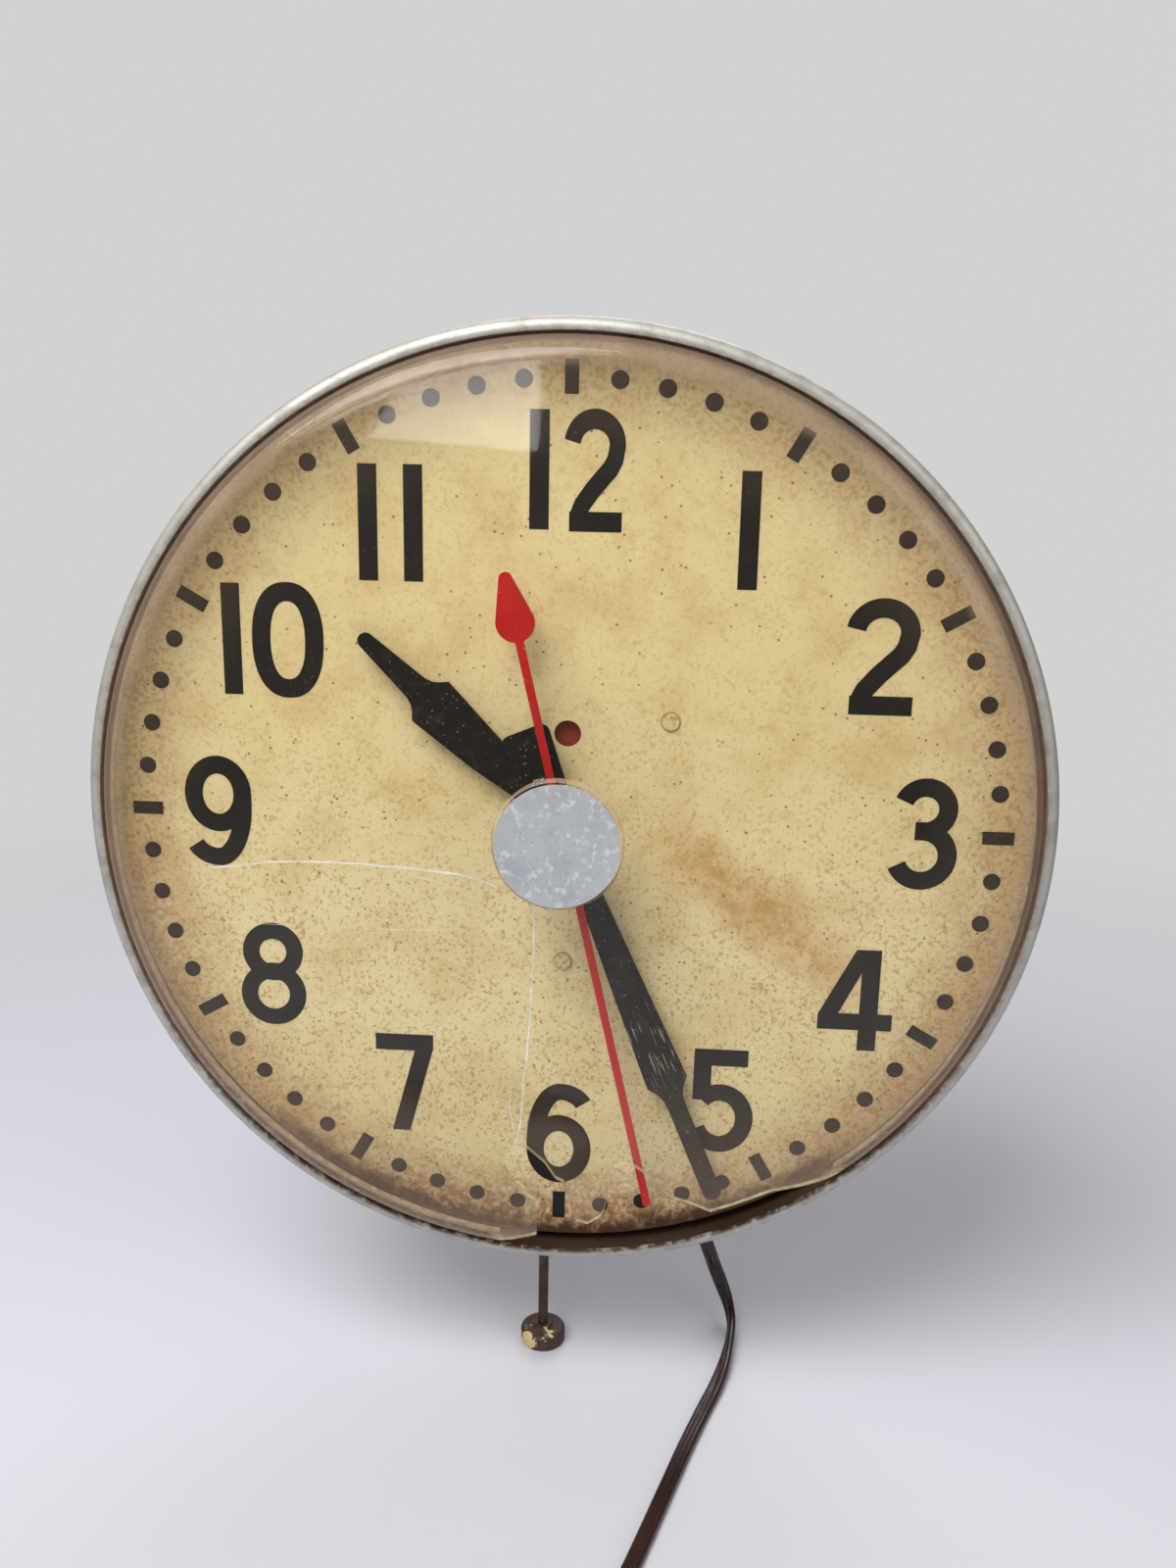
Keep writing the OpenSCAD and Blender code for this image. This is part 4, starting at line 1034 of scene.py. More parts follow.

# %% [markdown]
# ## Collars, and the ridge on the hour hand
#
# A sheet hand is riveted to a short collar, which is pressed on its tube; without it the hand would
# tilt. The hour hand also carries a raised panel that follows its outline, which stiffens it and
# catches a thin line of light. It is a slab with its sides drawn in, from a half outline of its own
# that lies a little inside the hand's.

# %% Collars and ridge
COLLAR_WALL = 1.0
COLLAR_H = 1.5
SECOND_COLLAR_R = 2.4
SECOND_COLLAR_H = 0.8
RIDGE_Z = (5.42, 6.0)
RIDGE_EDGE = 0.5


def collar(name, radius, bore_r, low, high, slot, body):
    """A turned collar with a small chamfer."""
    edge = 0.2
    outline = [(bore_r, low), (radius, low), (radius, high - edge), (radius - edge, high), (bore_r, high)]
    return make_piece(name, *lathe(outline, 64), slot, body, sharp=30)


collar("hour_collar", HOUR_BORE_R + COLLAR_WALL, HOUR_BORE_R, HOUR_Z[0] - COLLAR_H, HOUR_Z[0],
       "hand_black", "hour_hand_set")
collar("minute_collar", MINUTE_BORE_R + COLLAR_WALL, MINUTE_BORE_R, MINUTE_Z[0] - COLLAR_H, MINUTE_Z[0],
       "hand_black", "minute_hand_set")
collar("second_collar", SECOND_COLLAR_R, SECOND_BORE_R, SECOND_Z[1], SECOND_Z[1] + SECOND_COLLAR_H,
       "hand_red", "second_hand_set")
collar("second_under_collar", SECOND_COLLAR_R, SECOND_BORE_R, SECOND_Z[0] - SECOND_COLLAR_H, SECOND_Z[0],
       "hand_red", "second_hand_set")
ridge_half = [(20.6, 0.0), (20.6, 2.9), (37.0, 5.6), (56.4, 7.0), (57.7, 6.2), (57.7, 0.0)]
ridge_line = turned_to(clean(both_sides(ridge_half)), HOUR_DEG)
ridge = make_piece("hour_ridge", *slab([(ridge_line, [])], *RIDGE_Z), "hand_black", "hour_hand_set",
                   sharp=30)
soften(ridge, RIDGE_EDGE)
print("ridge", len(ridge.data.polygons), "faces")

# %% [markdown]
# ## Cracks in the crystal
#
# Age has cracked the dome. A crack is a thin wall of air inside the plastic that shines where light
# meets it, so it shows as a fine pale line with a lighter side. It could be a mark in the shader,
# but a line that branches is easier to steer as points. Each crack here is a very thin ribbon that
# follows the dome just above its face, wandering a little at every step from a fixed random seed.

# %% Cracks
CRACKS = [
    ([(-123, -16), (-103, -12.5), (-82, -11), (-55, -11.5), (-30, -13.6), (-21, -17)], 0.8),
    ([(-9.5, -22), (-8, -30), (-8, -39), (-9.5, -69), (-11.5, -90), (-13, -109), (-15, -117)], 0.65),
    ([(-15.5, -90), (-16.5, -101), (-14.5, -113)], 0.4),
    ([(-125, -36), (-90, -35.2), (-58, -34.4), (-30, -33.6)], 0.2),
    ([(-55, -11.5), (-48, -14.5), (-39, -16.2)], 0.25),
]
CRACK_UP = 0.03
CRACK_SEED = 7
crack_dice = random.Random(CRACK_SEED)
crack_points, crack_faces = [], []
for line, width in CRACKS:
    line = [p.xy for p in smooth_route([(*p, 0, 0) for p in line], 10)]
    wander = 0.0
    start = len(crack_points)
    for k, here in enumerate(line):
        along = (line[min(k + 1, len(line) - 1)] - line[max(k - 1, 0)]).normalized()
        wander = 0.8 * wander + crack_dice.uniform(-0.16, 0.16)
        middle = here + Vector((-along.y, along.x)) * wander
        half = width / 2 * crack_dice.uniform(0.5, 1.2)
        for side in (-1, 1):
            x, y = middle + Vector((-along.y, along.x)) * half * side
            crack_points.append((x, y, dome_z(math.hypot(x, y)) + CRACK_UP))
    crack_faces += [(start + 2 * k, start + 2 * k + 1, start + 2 * k + 3, start + 2 * k + 2)
                    for k in range(len(line) - 1)]
cracks = make_piece("crystal_cracks", crack_points, crack_faces, "clear_plastic", sharp=60)
print("crack points", len(crack_points))

# %% [markdown]
# ## The setting knob
#
# The knob is a moulded button on the end of the setting stem, under the clock, rounded where fingers
# turn it. It could be a cylinder with a bevel, but a turned outline gives each edge its own radius,
# and the blind hole for the stem comes with it. The stem stands upright behind the dial, so the knob
# is turned about directions of its own, and not about the dial's.

# %% Knob
STEM_X = -7.5
STEM_Z = -22.5
KNOB_R = 9.1
KNOB_LOW = -229.03
KNOB_ROUND = 1.3
KNOB_TOP_ROUND = 1.5
KNOB_NECK_R = 3.6
STEM_HOLE_R = 2.05
knob_axes = (Vector((STEM_X, 0, STEM_Z)), Vector((1, 0, 0)), Vector((0, 0, -1)), Vector((0, 1, 0)))
knob_outline = [(0, KNOB_LOW), (KNOB_R - KNOB_ROUND, KNOB_LOW)]
knob_outline += arc((KNOB_R - KNOB_ROUND, KNOB_LOW + KNOB_ROUND), (KNOB_ROUND,) * 2, -75, 0, step=15)
knob_outline += arc((KNOB_R - KNOB_TOP_ROUND, KNOB_LOW + 5.0), (KNOB_TOP_ROUND,) * 2, 0, 90, step=15)
knob_outline += [(4.2, KNOB_LOW + 6.5), (3.7, KNOB_LOW + 6.9), (KNOB_NECK_R, KNOB_LOW + 8.0),
                 (STEM_HOLE_R, KNOB_LOW + 8.0), (STEM_HOLE_R, KNOB_LOW + 3.0), (0, KNOB_LOW + 3.0)]
knob = make_piece("setting_knob", *lathe(knob_outline, 96, knob_axes, False), "knob_plastic",
                  "set_spindle", sharp=50)
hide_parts("set_knob")
print("knob", len(knob.data.vertices), "points")

# %% [markdown]
# ## The screws in the back
#
# Screw heads are the small details that say a thing was put together: each is a low dome with a slot
# sunk in it. A slot cut by a Boolean would be more exact, but at this size two half domes with a
# gap, over a round base, look the same and make clean meshes. Every head is turned to an angle of
# its own, since no one leaves three slots in line.

# %% Back screws
SCREW_R = 52.6
SCREW_DEGS = (46, 134, 270)
CASE_BACK = -55.0
HEAD_R = 3.5
HEAD_H = 1.6
HEAD_STEPS = 18
BASE_SHARE = 0.45
SHANK_R = 1.5
SHANK_LEN = 14


def slotted_head(x, y, base, top, radius, slot_deg):
    """A low domed head with a slot across it, turned by an angle; top is away from base."""
    way = 1 if top > base else -1
    high = abs(top - base)
    base_top = BASE_SHARE * high
    points, faces = lathe([(0, 0), (radius, 0), (radius, base_top), (0, base_top)], 40)
    gap = 0.16 * radius
    for side in (-1, 1):
        rows = []
        for level, reach in ((BASE_SHARE, 1.0), (0.7, 0.96), (0.88, 0.85), (1.0, 0.62)):
            edge = math.degrees(math.asin(gap / (reach * radius)))
            row = []
            for k in range(HEAD_STEPS + 1):
                a = math.radians(slot_deg + 90 * (1 - side) + edge + (180 - 2 * edge) * k / HEAD_STEPS)
                row.append(len(points))
                points.append((reach * radius * math.cos(a), reach * radius * math.sin(a), level * high))
            rows.append(row)
        for low, up in zip(rows, rows[1:]):
            faces += [(low[k], low[k + 1], up[k + 1], up[k]) for k in range(HEAD_STEPS)]
            faces.append((low[-1], low[0], up[0], up[-1]))
        faces += [tuple(rows[-1]), tuple(reversed(rows[0]))]
    return [(x + u, y + v, base + way * w) for u, v, w in points], faces


heads, shanks = [], []
for k, degree in enumerate(SCREW_DEGS):
    a = math.radians(degree)
    x, y = SCREW_R * math.cos(a), SCREW_R * math.sin(a)
    heads.append(slotted_head(x, y, CASE_BACK, CASE_BACK - HEAD_H, HEAD_R, 25 + 70 * k))
    shank = [(0, CASE_BACK), (SHANK_R, CASE_BACK), (SHANK_R, CASE_BACK + SHANK_LEN),
             (0, CASE_BACK + SHANK_LEN)]
    shanks.append(lathe(shank, 24, (Vector((x, y, 0)), *DIAL_AXES[1:]), False))
back_screws = make_piece("back_screws", *join(heads + shanks), "steel", sharp=30)
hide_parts("case_screws")
print("screws", len(SCREW_DEGS), "with", len(back_screws.data.polygons), "faces")

# %% [markdown]
# ## Shader arithmetic
#
# A finish is worked out at every point from where that point lies: a stain here, dust there. Shader
# nodes do such sums one node at a time, which is slow to read as a list of links. A small class
# wraps a node's output so that Python's own signs build the nodes: `1 - mask` makes a Subtract node,
# through the method for a number that stands on the left.

# %% A value in sums
class Val:
    """One output of a node, which can be used in sums."""

    def __init__(self, shader, socket):
        self.shader = shader
        self.socket = socket

    def __getitem__(self, name):
        """Another output of the same node."""
        return Val(self.shader, self.socket.node.outputs[name])

    def sum(self, kind, a, b):
        """The output of a Math node of a kind."""
        return self.shader.node("Math", {"operation": kind}, {0: a, 1: b})

    def __add__(self, other):
        return self.sum("ADD", self, other)

    def __radd__(self, other):
        return self.sum("ADD", other, self)

    def __sub__(self, other):
        return self.sum("SUBTRACT", self, other)

    def __rsub__(self, other):
        return self.sum("SUBTRACT", other, self)

    def __mul__(self, other):
        return self.sum("MULTIPLY", self, other)

    def __rmul__(self, other):
        return self.sum("MULTIPLY", other, self)

    def __truediv__(self, other):
        return self.sum("DIVIDE", self, other)

    def __rtruediv__(self, other):
        return self.sum("DIVIDE", other, self)

    def __pow__(self, other):
        return self.sum("POWER", self, other)


# %% [markdown]
# ## A material under construction
#
# A material is a tree of nodes, and most finishes ask the same things of it: cloudy noise of a size,
# separate dots, a soft step between two values, a mix of two colours. This class gives each a name
# and takes sizes in millimetres. One method makes any other kind of node, settings first, because
# some settings change which sockets a node has.

# %% A material
class Shader:
    """A material under construction; x, y and z are the dial's ruler in millimetres."""

    def __init__(self, name):
        self.material = bpy.data.materials.new(name)
        self.material.use_nodes = True
        self.tree = self.material.node_tree
        self.tree.nodes.clear()
        self.here = self.node("TexCoord")["Object"]
        split = self.node("SeparateXYZ", {}, {0: self.here})
        self.x = (split["X"] - AXIS_X) / MM
        self.y = (split["Z"] - AXIS_Z) / MM
        self.z = (FACE_Y - split["Y"]) / MM
        self.radius = (self.x * self.x + self.y * self.y) ** 0.5

    def node(self, kind, settings=None, sockets=None, out=0):
        """A new node of a kind, with its settings and then its sockets."""
        made = self.tree.nodes.new("ShaderNode" + kind)
        for key, value in (settings or {}).items():
            setattr(made, key, value)
        for key, value in (sockets or {}).items():
            if isinstance(value, Val):
                self.tree.links.new(value.socket, made.inputs[key])
            elif value is not None:
                made.inputs[key].default_value = value
        return Val(self, made.outputs[out]) if made.outputs else None

    def stretched(self, x, y, z):
        """The place, squeezed along the model's axes, so that a pattern made there is drawn out."""
        return self.node("VectorMath", {"operation": "MULTIPLY"}, {0: self.here, 1: (x, y, z)})

    def noise(self, size, detail=3.0, rough=0.55, where=None):
        """Cloudy noise with features of about a size in millimetres."""
        return self.node("TexNoise", {}, {"Vector": where or self.here, "Scale": 1000 / size,
                                          "Detail": detail, "Roughness": rough})

    def dots(self, size, radius, where=None):
        """Separate round dots, one to a cell of a size, whose radius is a share of the cell."""
        far = self.node("TexVoronoi", {}, {"Vector": where or self.here, "Scale": 1000 / size})
        return 1 - self.step(far, radius * 0.6, radius)

    def step(self, value, low, high):
        """0 below low, 1 above high, and a smooth S between."""
        return self.node("MapRange", {"interpolation_type": "SMOOTHSTEP"},
                         {"Value": value, "From Min": low, "From Max": high})

    def mix(self, mask, a, b):
        """Colour a where the mask is 0 and colour b where it is 1."""
        return self.node("Mix", {"data_type": "RGBA"}, {0: mask, 6: a, 7: b}, out=2)

    def bump(self, height, depth):
        """A normal from a height of 0 to 1 that stands for a depth in millimetres."""
        return self.node("Bump", {}, {"Height": height, "Distance": depth * MM, "Strength": 0.7})

    def gloss(self, sockets):
        """A Principled shader."""
        return self.node("BsdfPrincipled", {}, sockets)

    def done(self, surface):
        """End the material with a surface, and hand it over."""
        self.node("OutputMaterial", {}, {"Surface": surface})
        return self.material


# %% [markdown]
# ## Metals
#
# Old metal is never one colour. A recipe for all of the metals starts with a clean tone, clouds it
# with a duller one, and lets an oxide gather in spots; oxide is rougher and less metallic than the
# metal round it, so the same mask steers all three. Fine grain goes to the bump. Each metal is then
# one call with its own tones and sizes, which keeps the family alike but no two the same.

# %% Metal recipe
def metal(name, clean, dull, oxide, rough=0.35, amount=0.5, grain=0.5, spot=3.0):
    """A worn metal: amount is how far the oxide has spread, from 0 to 1."""
    s = Shader(name)
    clouds = s.step(s.noise(14, 4), 0.35, 0.7)
    spread = s.step(s.noise(spot, 6, 0.7), 0.68 - 0.3 * amount, 0.8 - 0.28 * amount)
    fine = s.noise(grain, 2)
    tone = s.mix(clouds, srgb(*clean), srgb(*dull))
    tone = s.mix(spread, tone, srgb(*oxide))
    tone = s.mix(s.step(fine, 0.4, 0.75) * 0.3, tone, srgb(*[c * 0.55 for c in oxide]))
    return s.done(s.gloss({"Base Color": tone, "Metallic": 0.95 - spread * 0.6,
                           "Roughness": rough + clouds * 0.1 + spread * 0.3 + fine * 0.08,
                           "Normal": s.bump(fine * 0.5 + spread * 0.5, 0.06)}))


# %% [markdown]
# ## Painted, moulded and woven things
#
# Rubber, plastic, enamel and fibre share a second recipe. Their tone drifts gently, dust settles on
# them as pale specks, and handling leaves patches with a little more gloss. The specks come from a
# cell pattern, whose dots keep apart, thinned out by a slower noise; plain noise would give worms
# rather than specks.

# %% Moulded recipe
def moulded(name, tone, other, dust, rough=0.45, speck=1.6, amount=0.5, grain=0.4, depth=0.03, coat=0.0):
    """A painted or moulded finish with specks of dust."""
    s = Shader(name)
    drift = s.step(s.noise(18, 3), 0.35, 0.7)
    patches = s.step(s.noise(9, 4), 0.42, 0.62)
    thinned = s.step(s.noise(speck * 2.2, 2), 0.62 - 0.2 * amount, 0.72 - 0.2 * amount)
    specks = s.dots(speck, 0.26) * thinned
    film = s.step(s.noise(5, 6, 0.7), 0.5, 0.85) * 0.25 * amount
    color = s.mix(drift, srgb(*tone), srgb(*other))
    color = s.mix(specks * 0.85 + film, color, srgb(*dust))
    fine = s.noise(grain, 3)
    return s.done(s.gloss({"Base Color": color, "Roughness": rough + patches * 0.12 + specks * 0.25,
                           "Coat Weight": coat, "Normal": s.bump(fine * 0.7 + specks * 0.3, depth)}))


# %% [markdown]
# ## A chart of plain finishes
#
# Most parts need one of the two recipes and nothing more: brass, steel and copper, fibre, wire and
# rubber. They are written as a chart, name against recipe, with two close tones and the colour of
# the dirt for each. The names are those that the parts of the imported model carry, so the chart can
# be looked up for any part. Finishes with marks in certain places are added to it one by one later.

# %% Plain finishes
finishes = {
    "brass": metal("brass", (196, 160, 88), (150, 118, 62), (92, 74, 44), 0.3, 0.4, 0.4, 2.2),
    "steel": metal("steel", (150, 150, 148), (112, 110, 106), (96, 62, 38), 0.32, 0.45, 0.5, 2.5),
    "stem_steel": metal("stem_steel", (96, 84, 72), (72, 60, 50), (86, 56, 36), 0.45, 0.7, 0.4, 2.0),
    "copper_can": metal("copper_can", (178, 112, 74), (138, 82, 54), (84, 66, 48), 0.33, 0.4, 0.4, 3.0),
    "core_steel": metal("core_steel", (110, 110, 112), (84, 82, 80), (92, 60, 40), 0.45, 0.6, 0.3, 1.8),
    "bobbin_fibre": moulded("bobbin_fibre", (150, 96, 60), (126, 78, 48), (176, 152, 120), 0.6, 1.2),
    "coil_wire": moulded("coil_wire", (142, 74, 40), (116, 58, 32), (150, 120, 90), 0.35, 1.0, 0.4, 0.25,
                         0.08),
    "flag_red": moulded("flag_red", (150, 46, 30), (124, 52, 34), (120, 70, 46), 0.5, 1.2),
    "wire_cover": moulded("wire_cover", (92, 70, 48), (70, 52, 36), (140, 118, 90), 0.7, 0.9, 0.5, 0.3,
                          0.08),
    "splice_plastic": moulded("splice_plastic", (206, 196, 168), (184, 170, 138), (150, 132, 100), 0.45),
    "cord_rubber": moulded("cord_rubber", (46, 24, 17), (33, 18, 13), (118, 92, 76), 0.27, 1.3, 0.12, 0.5,
                           0.02),
    "tie_wire": moulded("tie_wire", (44, 44, 42), (60, 58, 52), (120, 112, 96), 0.5, 0.8),
    "plug_rubber": moulded("plug_rubber", (52, 28, 20), (40, 22, 16), (124, 100, 84), 0.38, 1.2, 0.4),
    "hand_red": moulded("hand_red", (188, 14, 18), (170, 12, 16), (214, 170, 150), 0.3, 1.0, 0.15, 0.4,
                        0.015),
}
print("plain finishes", len(finishes))

# %% [markdown]
# ## The rim and the pan
#
# The rim is thin bright metal that has gone dull, with dark pits all over, and dirt where it meets
# the crystal, most of all along the bottom, where damp collects. The pan behind it is painted. Both
# need masks that follow the clock's own shape, so they use the radius and the height on the dial
# rather than noise alone. The gasket inside the pan and the silver cap at the centre are made in the
# same way.

# %% Rim and pan finishes
s = Shader("band_aluminium")
low_down = 1 - s.step(s.y, -150, -40)
pits = s.step(s.noise(1.1, 4, 0.7), 0.56, 0.68)
blooms = s.step(s.noise(9, 5, 0.6), 0.45, 0.68)
grime = (1 - s.step(s.radius, 166.1, 168.2)) * (0.35 + 0.65 * low_down) * s.step(s.noise(4, 5), 0.3, 0.55)
streaks = s.step(s.noise(3.5, 5, 0.7), 0.6, 0.72) * (0.25 + 0.5 * low_down)
tone = s.mix(blooms, srgb(180, 176, 168), srgb(160, 155, 146))
tone = s.mix(pits * 0.5, tone, srgb(136, 126, 116))
tone = s.mix(streaks * 0.6, tone, srgb(116, 86, 62))
tone = s.mix(grime, tone, srgb(60, 38, 24))
finishes["band_aluminium"] = s.done(s.gloss({
    "Base Color": tone, "Metallic": 0.45 - pits * 0.2 - grime * 0.25,
    "Roughness": 0.48 + blooms * 0.08 + pits * 0.15 + grime * 0.2,
    "Normal": s.bump(s.noise(0.6, 2) * 0.5 + pits * 0.5, 0.05)}))

s = Shader("case_metal")
rust = s.step(s.noise(7, 6, 0.7), 0.52, 0.66)
inside = (1 - s.step(s.radius, 168.4, 169.0)) * s.step(s.z, -30, -2)
tone = s.mix(s.step(s.noise(25, 3), 0.35, 0.7), srgb(112, 108, 102), srgb(92, 86, 80))
tone = s.mix(rust * 0.7, tone, srgb(98, 60, 38))
tone = s.mix(s.dots(2.4, 0.2) * 0.6, tone, srgb(70, 48, 34))
low_down = 1 - s.step(s.y + (s.noise(20, 4) - 0.5) * 60, -150, -60)
tone = s.mix(inside, tone, srgb(150, 126, 100))
tone = s.mix(inside * low_down * (0.75 + 0.25 * rust), tone, srgb(50, 27, 13))
finishes["case_metal"] = s.done(s.gloss({
    "Base Color": tone, "Metallic": 0.55 - rust * 0.4, "Roughness": 0.45 + rust * 0.25,
    "Normal": s.bump(s.noise(0.8, 3) * 0.6 + rust * 0.4, 0.08)}))

s = Shader("gasket")
low_down = 1 - s.step(s.y + (s.noise(25, 4) - 0.5) * 60, -150, -50)
rot = s.step(s.noise(3, 5, 0.7), 0.45, 0.65)
tone = s.mix(s.noise(6), srgb(150, 124, 100), srgb(122, 98, 76))
tone = s.mix(low_down, tone, srgb(44, 25, 12))
tone = s.mix(rot * (0.5 - low_down * 0.35), tone, srgb(84, 54, 32))
finishes["gasket"] = s.done(s.gloss({
    "Base Color": tone, "Roughness": 0.7 + rot * 0.15, "Normal": s.bump(rot, 0.08)}))

s = Shader("hub_silver")
spots = s.step(s.noise(2.4, 5, 0.75), 0.5, 0.62)
white = s.step(s.noise(2.0, 4, where=s.stretched(1.1, 1, 0.9)), 0.55, 0.64)
tone = s.mix(s.step(s.noise(9, 4), 0.35, 0.7), srgb(186, 189, 190), srgb(170, 175, 180))
tone = s.mix(spots * 0.45, tone, srgb(140, 140, 138))
tone = s.mix(white * 0.6, tone, srgb(218, 220, 218))
finishes["hub_silver"] = s.done(s.gloss({
    "Base Color": tone, "Metallic": 0.45 - spots * 0.2, "Roughness": 0.42 + spots * 0.2,
    "Normal": s.bump(spots * 0.5 + white * 0.5, 0.04)}))
print("finishes with the metals", len(finishes))

# %% [markdown]
# ## Black and chipped enamel
#
# The hands are black enamel that has held dust for years: pale specks of two sizes, and a fine film
# in soft bands. Fine scratches run along the minute hand; they are noise that is squeezed across the
# hand and stretched along it. Most of the knob's paint has chipped off and left the brown beneath.
# A chip has a hard edge, so its mask is a steep step. The cream is kept mostly on the front left,
# the side that the key lamp lights, so there it is partly a painted highlight.

# %% Hand and knob finishes
s = Shader("hand_black")
dust = s.dots(1.5, 0.2) * s.step(s.noise(5, 3), 0.42, 0.55)
fine_dust = s.step(s.noise(0.5, 2), 0.66, 0.74)
film = s.step(s.noise(6, 5, 0.7), 0.5, 0.85) * 0.1
minute_turn = math.radians(MINUTE_DEG)
along = s.x * math.sin(minute_turn) + s.y * math.cos(minute_turn)
across = s.x * math.cos(minute_turn) - s.y * math.sin(minute_turn)
drawn_out = s.node("CombineXYZ", {}, {0: along * 0.09, 1: across * 1.5})
hairs = s.step(s.noise(1000, 3, where=drawn_out), 0.58, 0.68)
scuffs = s.step(along, 66, 84) * (1 - s.step(along, 96, 108)) * hairs
tone = s.mix(s.noise(12), srgb(12, 12, 12), srgb(22, 20, 18))
tone = s.mix(dust * 0.7 + film + fine_dust * 0.15, tone, srgb(168, 158, 140))
tone = s.mix(scuffs * 0.6, tone, srgb(196, 188, 176))
finishes["hand_black"] = s.done(s.gloss({
    "Base Color": tone, "Roughness": 0.42 + film + dust * 0.3 + scuffs * 0.3, "Specular IOR Level": 0.25,
    "Normal": s.bump(s.noise(0.5) * 0.5 + dust * 0.5, 0.02)}))

s = Shader("knob_plastic")
# The cream is kept mostly towards the front left, where the key lamp falls: partly worn paint, partly a
# painted highlight.
painted_lit_side = (s.z - STEM_Z) * 0.6 - (s.x - STEM_X) * 0.8
chips = 1 - s.step(s.noise(5, 5, 0.6) + painted_lit_side * 0.024, 0.66, 0.69)
tone = s.mix(s.noise(4), srgb(205, 184, 132), srgb(182, 156, 104))
tone = s.mix(chips, tone, srgb(58, 38, 26))
tone = s.mix(chips * s.step(s.noise(2.5, 4), 0.5, 0.7) * 0.5, tone, srgb(104, 78, 52))
tone = s.mix(s.dots(1.3, 0.22) * 0.7, tone, srgb(84, 56, 34))
finishes["knob_plastic"] = s.done(s.gloss({
    "Base Color": tone, "Roughness": 0.38 + chips * 0.25, "Normal": s.bump(1 - chips, 0.1)}))
print("finishes with the enamels", len(finishes))

# %% [markdown]
# ## The dial
#
# The dial's enamel carries most of the age. It is yellower at the top and paler and more speckled at
# the bottom, where the broken crystal let dust in. A brown stain runs from the middle towards the
# four, and rust creeps in from the lower edge. Each of these is a mask, and every mask is broken up
# by noise so that none has a ruled edge. They are laid over each other in the order that time did.
# Last, a darker ring round each screw head is painted shade where the head meets the dial.

# %% Dial finish
def dial_layers(s):
    """The colour of the aged enamel with painted shade round the screw heads, and a mask of its roughest
    marks.
    """
    lower = 1 - s.step(s.y + (s.noise(40) - 0.5) * 80, -70, 60)
    tone = s.mix(lower, srgb(223, 206, 160), srgb(226, 212, 170))
    mottle = s.step(s.noise(26, 5, 0.6), 0.42, 0.72)
    tone = s.mix(mottle * 0.42, tone, srgb(192, 160, 104))
    clouds = s.step(s.noise(8, 6, 0.65), 0.5, 0.75)
    tone = s.mix(clouds * 0.35, tone, srgb(184, 148, 92))
    thick = s.step(s.noise(17, 4), 0.32, 0.68)
    grains = s.step(s.noise(1.5, 3, 0.7) + thick * 0.05, 0.57, 0.64)
    tone = s.mix(grains * (0.22 + lower * 0.36), tone, srgb(158, 120, 66))
    pale = s.step(s.noise(1.7, 2, where=s.stretched(1, 1.3, 1.1)), 0.58, 0.66)
    tone = s.mix(pale * (0.1 + lower * 0.3), tone, srgb(236, 224, 190))
    along = (s.x - 44) * 0.78 - (s.y + 10) * 0.63
    across = (s.x - 44) * 0.63 + (s.y + 10) * 0.78 + (s.noise(22, 4) - 0.5) * 26
    line = (1 - s.step((across * across) ** 0.5, 1, 20)) * s.step(along, -30, 16)
    line = line * (1 - s.step(along, 52, 100))
    soak = 0.45 + 0.55 * s.step(s.noise(7, 5, 0.65), 0.35, 0.7)
    tone = s.mix(line * soak * 0.85, tone, srgb(178, 132, 66))
    edge = s.step(s.radius + (s.noise(9, 5) - 0.5) * 30, 132, 164)
    tone = s.mix(edge * (0.42 + 0.2 * lower), tone, srgb(180, 142, 104))
    peppered = s.step(s.noise(1.6, 3), 0.5, 0.6) * s.step(s.radius, 128, 160)
    tone = s.mix(peppered * 0.4, tone, srgb(132, 94, 58))
    bottom = 1 - s.step(s.y + (s.noise(12, 5) - 0.5) * 30, -156, -132)
    rust = bottom * s.step(s.noise(3, 6, 0.7), 0.38, 0.6)
    tone = s.mix(rust * 0.85, tone, srgb(132, 84, 42))
    scorched = s.step(s.radius + (s.noise(6, 4) - 0.5) * 12, 155, 163.5)
    scorched = scorched * (1 - s.step(s.y + (s.noise(14, 3) - 0.5) * 16, -136, -112))
    tone = s.mix(scorched * 0.92, tone, srgb(58, 34, 15))
    flecks = s.dots(3.6, 0.16) * s.step(s.noise(14, 3), 0.48, 0.56)
    tone = s.mix(flecks * 0.75, tone, srgb(78, 52, 32))
    # A darker ring of paint round each screw head: painted shade in the gap where the head meets the
    # dial.
    for degree in SCREW_DEGS:
        a = math.radians(degree)
        right, up = s.x - SCREW_R * math.cos(a), s.y - SCREW_R * math.sin(a)
        far = (right * right + up * up) ** 0.5
        tone = s.mix((1 - s.step(far, 3.1, 4.0)) * 0.7, tone, srgb(120, 84, 48))
    return tone, rust + flecks * 0.5


s = Shader("dial_paint")
tone, marks = dial_layers(s)
finishes["dial_paint"] = s.done(s.gloss({
    "Base Color": tone, "Roughness": 0.55 + marks * 0.2,
    "Normal": s.bump(s.noise(0.7, 3) * 0.6 + marks * 0.4, 0.06)}))

s = Shader("dial_ink")
worn = s.step(s.noise(0.8, 2), 0.62, 0.7) * s.step(s.noise(11, 3), 0.4, 0.6)
tone = s.mix(s.noise(10), srgb(14, 13, 11), srgb(26, 23, 19))
tone = s.mix(worn * 0.4, tone, srgb(120, 98, 70))
ink = s.done(s.gloss({"Base Color": tone, "Roughness": 0.5 + worn * 0.2, "Specular IOR Level": 0.3}))

s = Shader("screw_cream")
ringed = s.step(s.noise(1.6, 4), 0.45, 0.6)
tone = s.mix(s.noise(2.5), srgb(224, 206, 156), srgb(206, 182, 130))
tone = s.mix(ringed * 0.5, tone, srgb(128, 86, 50))
screw_cream = s.done(s.gloss({"Base Color": tone, "Roughness": 0.5, "Normal": s.bump(ringed, 0.05)}))
print("finishes with the dial", len(finishes))
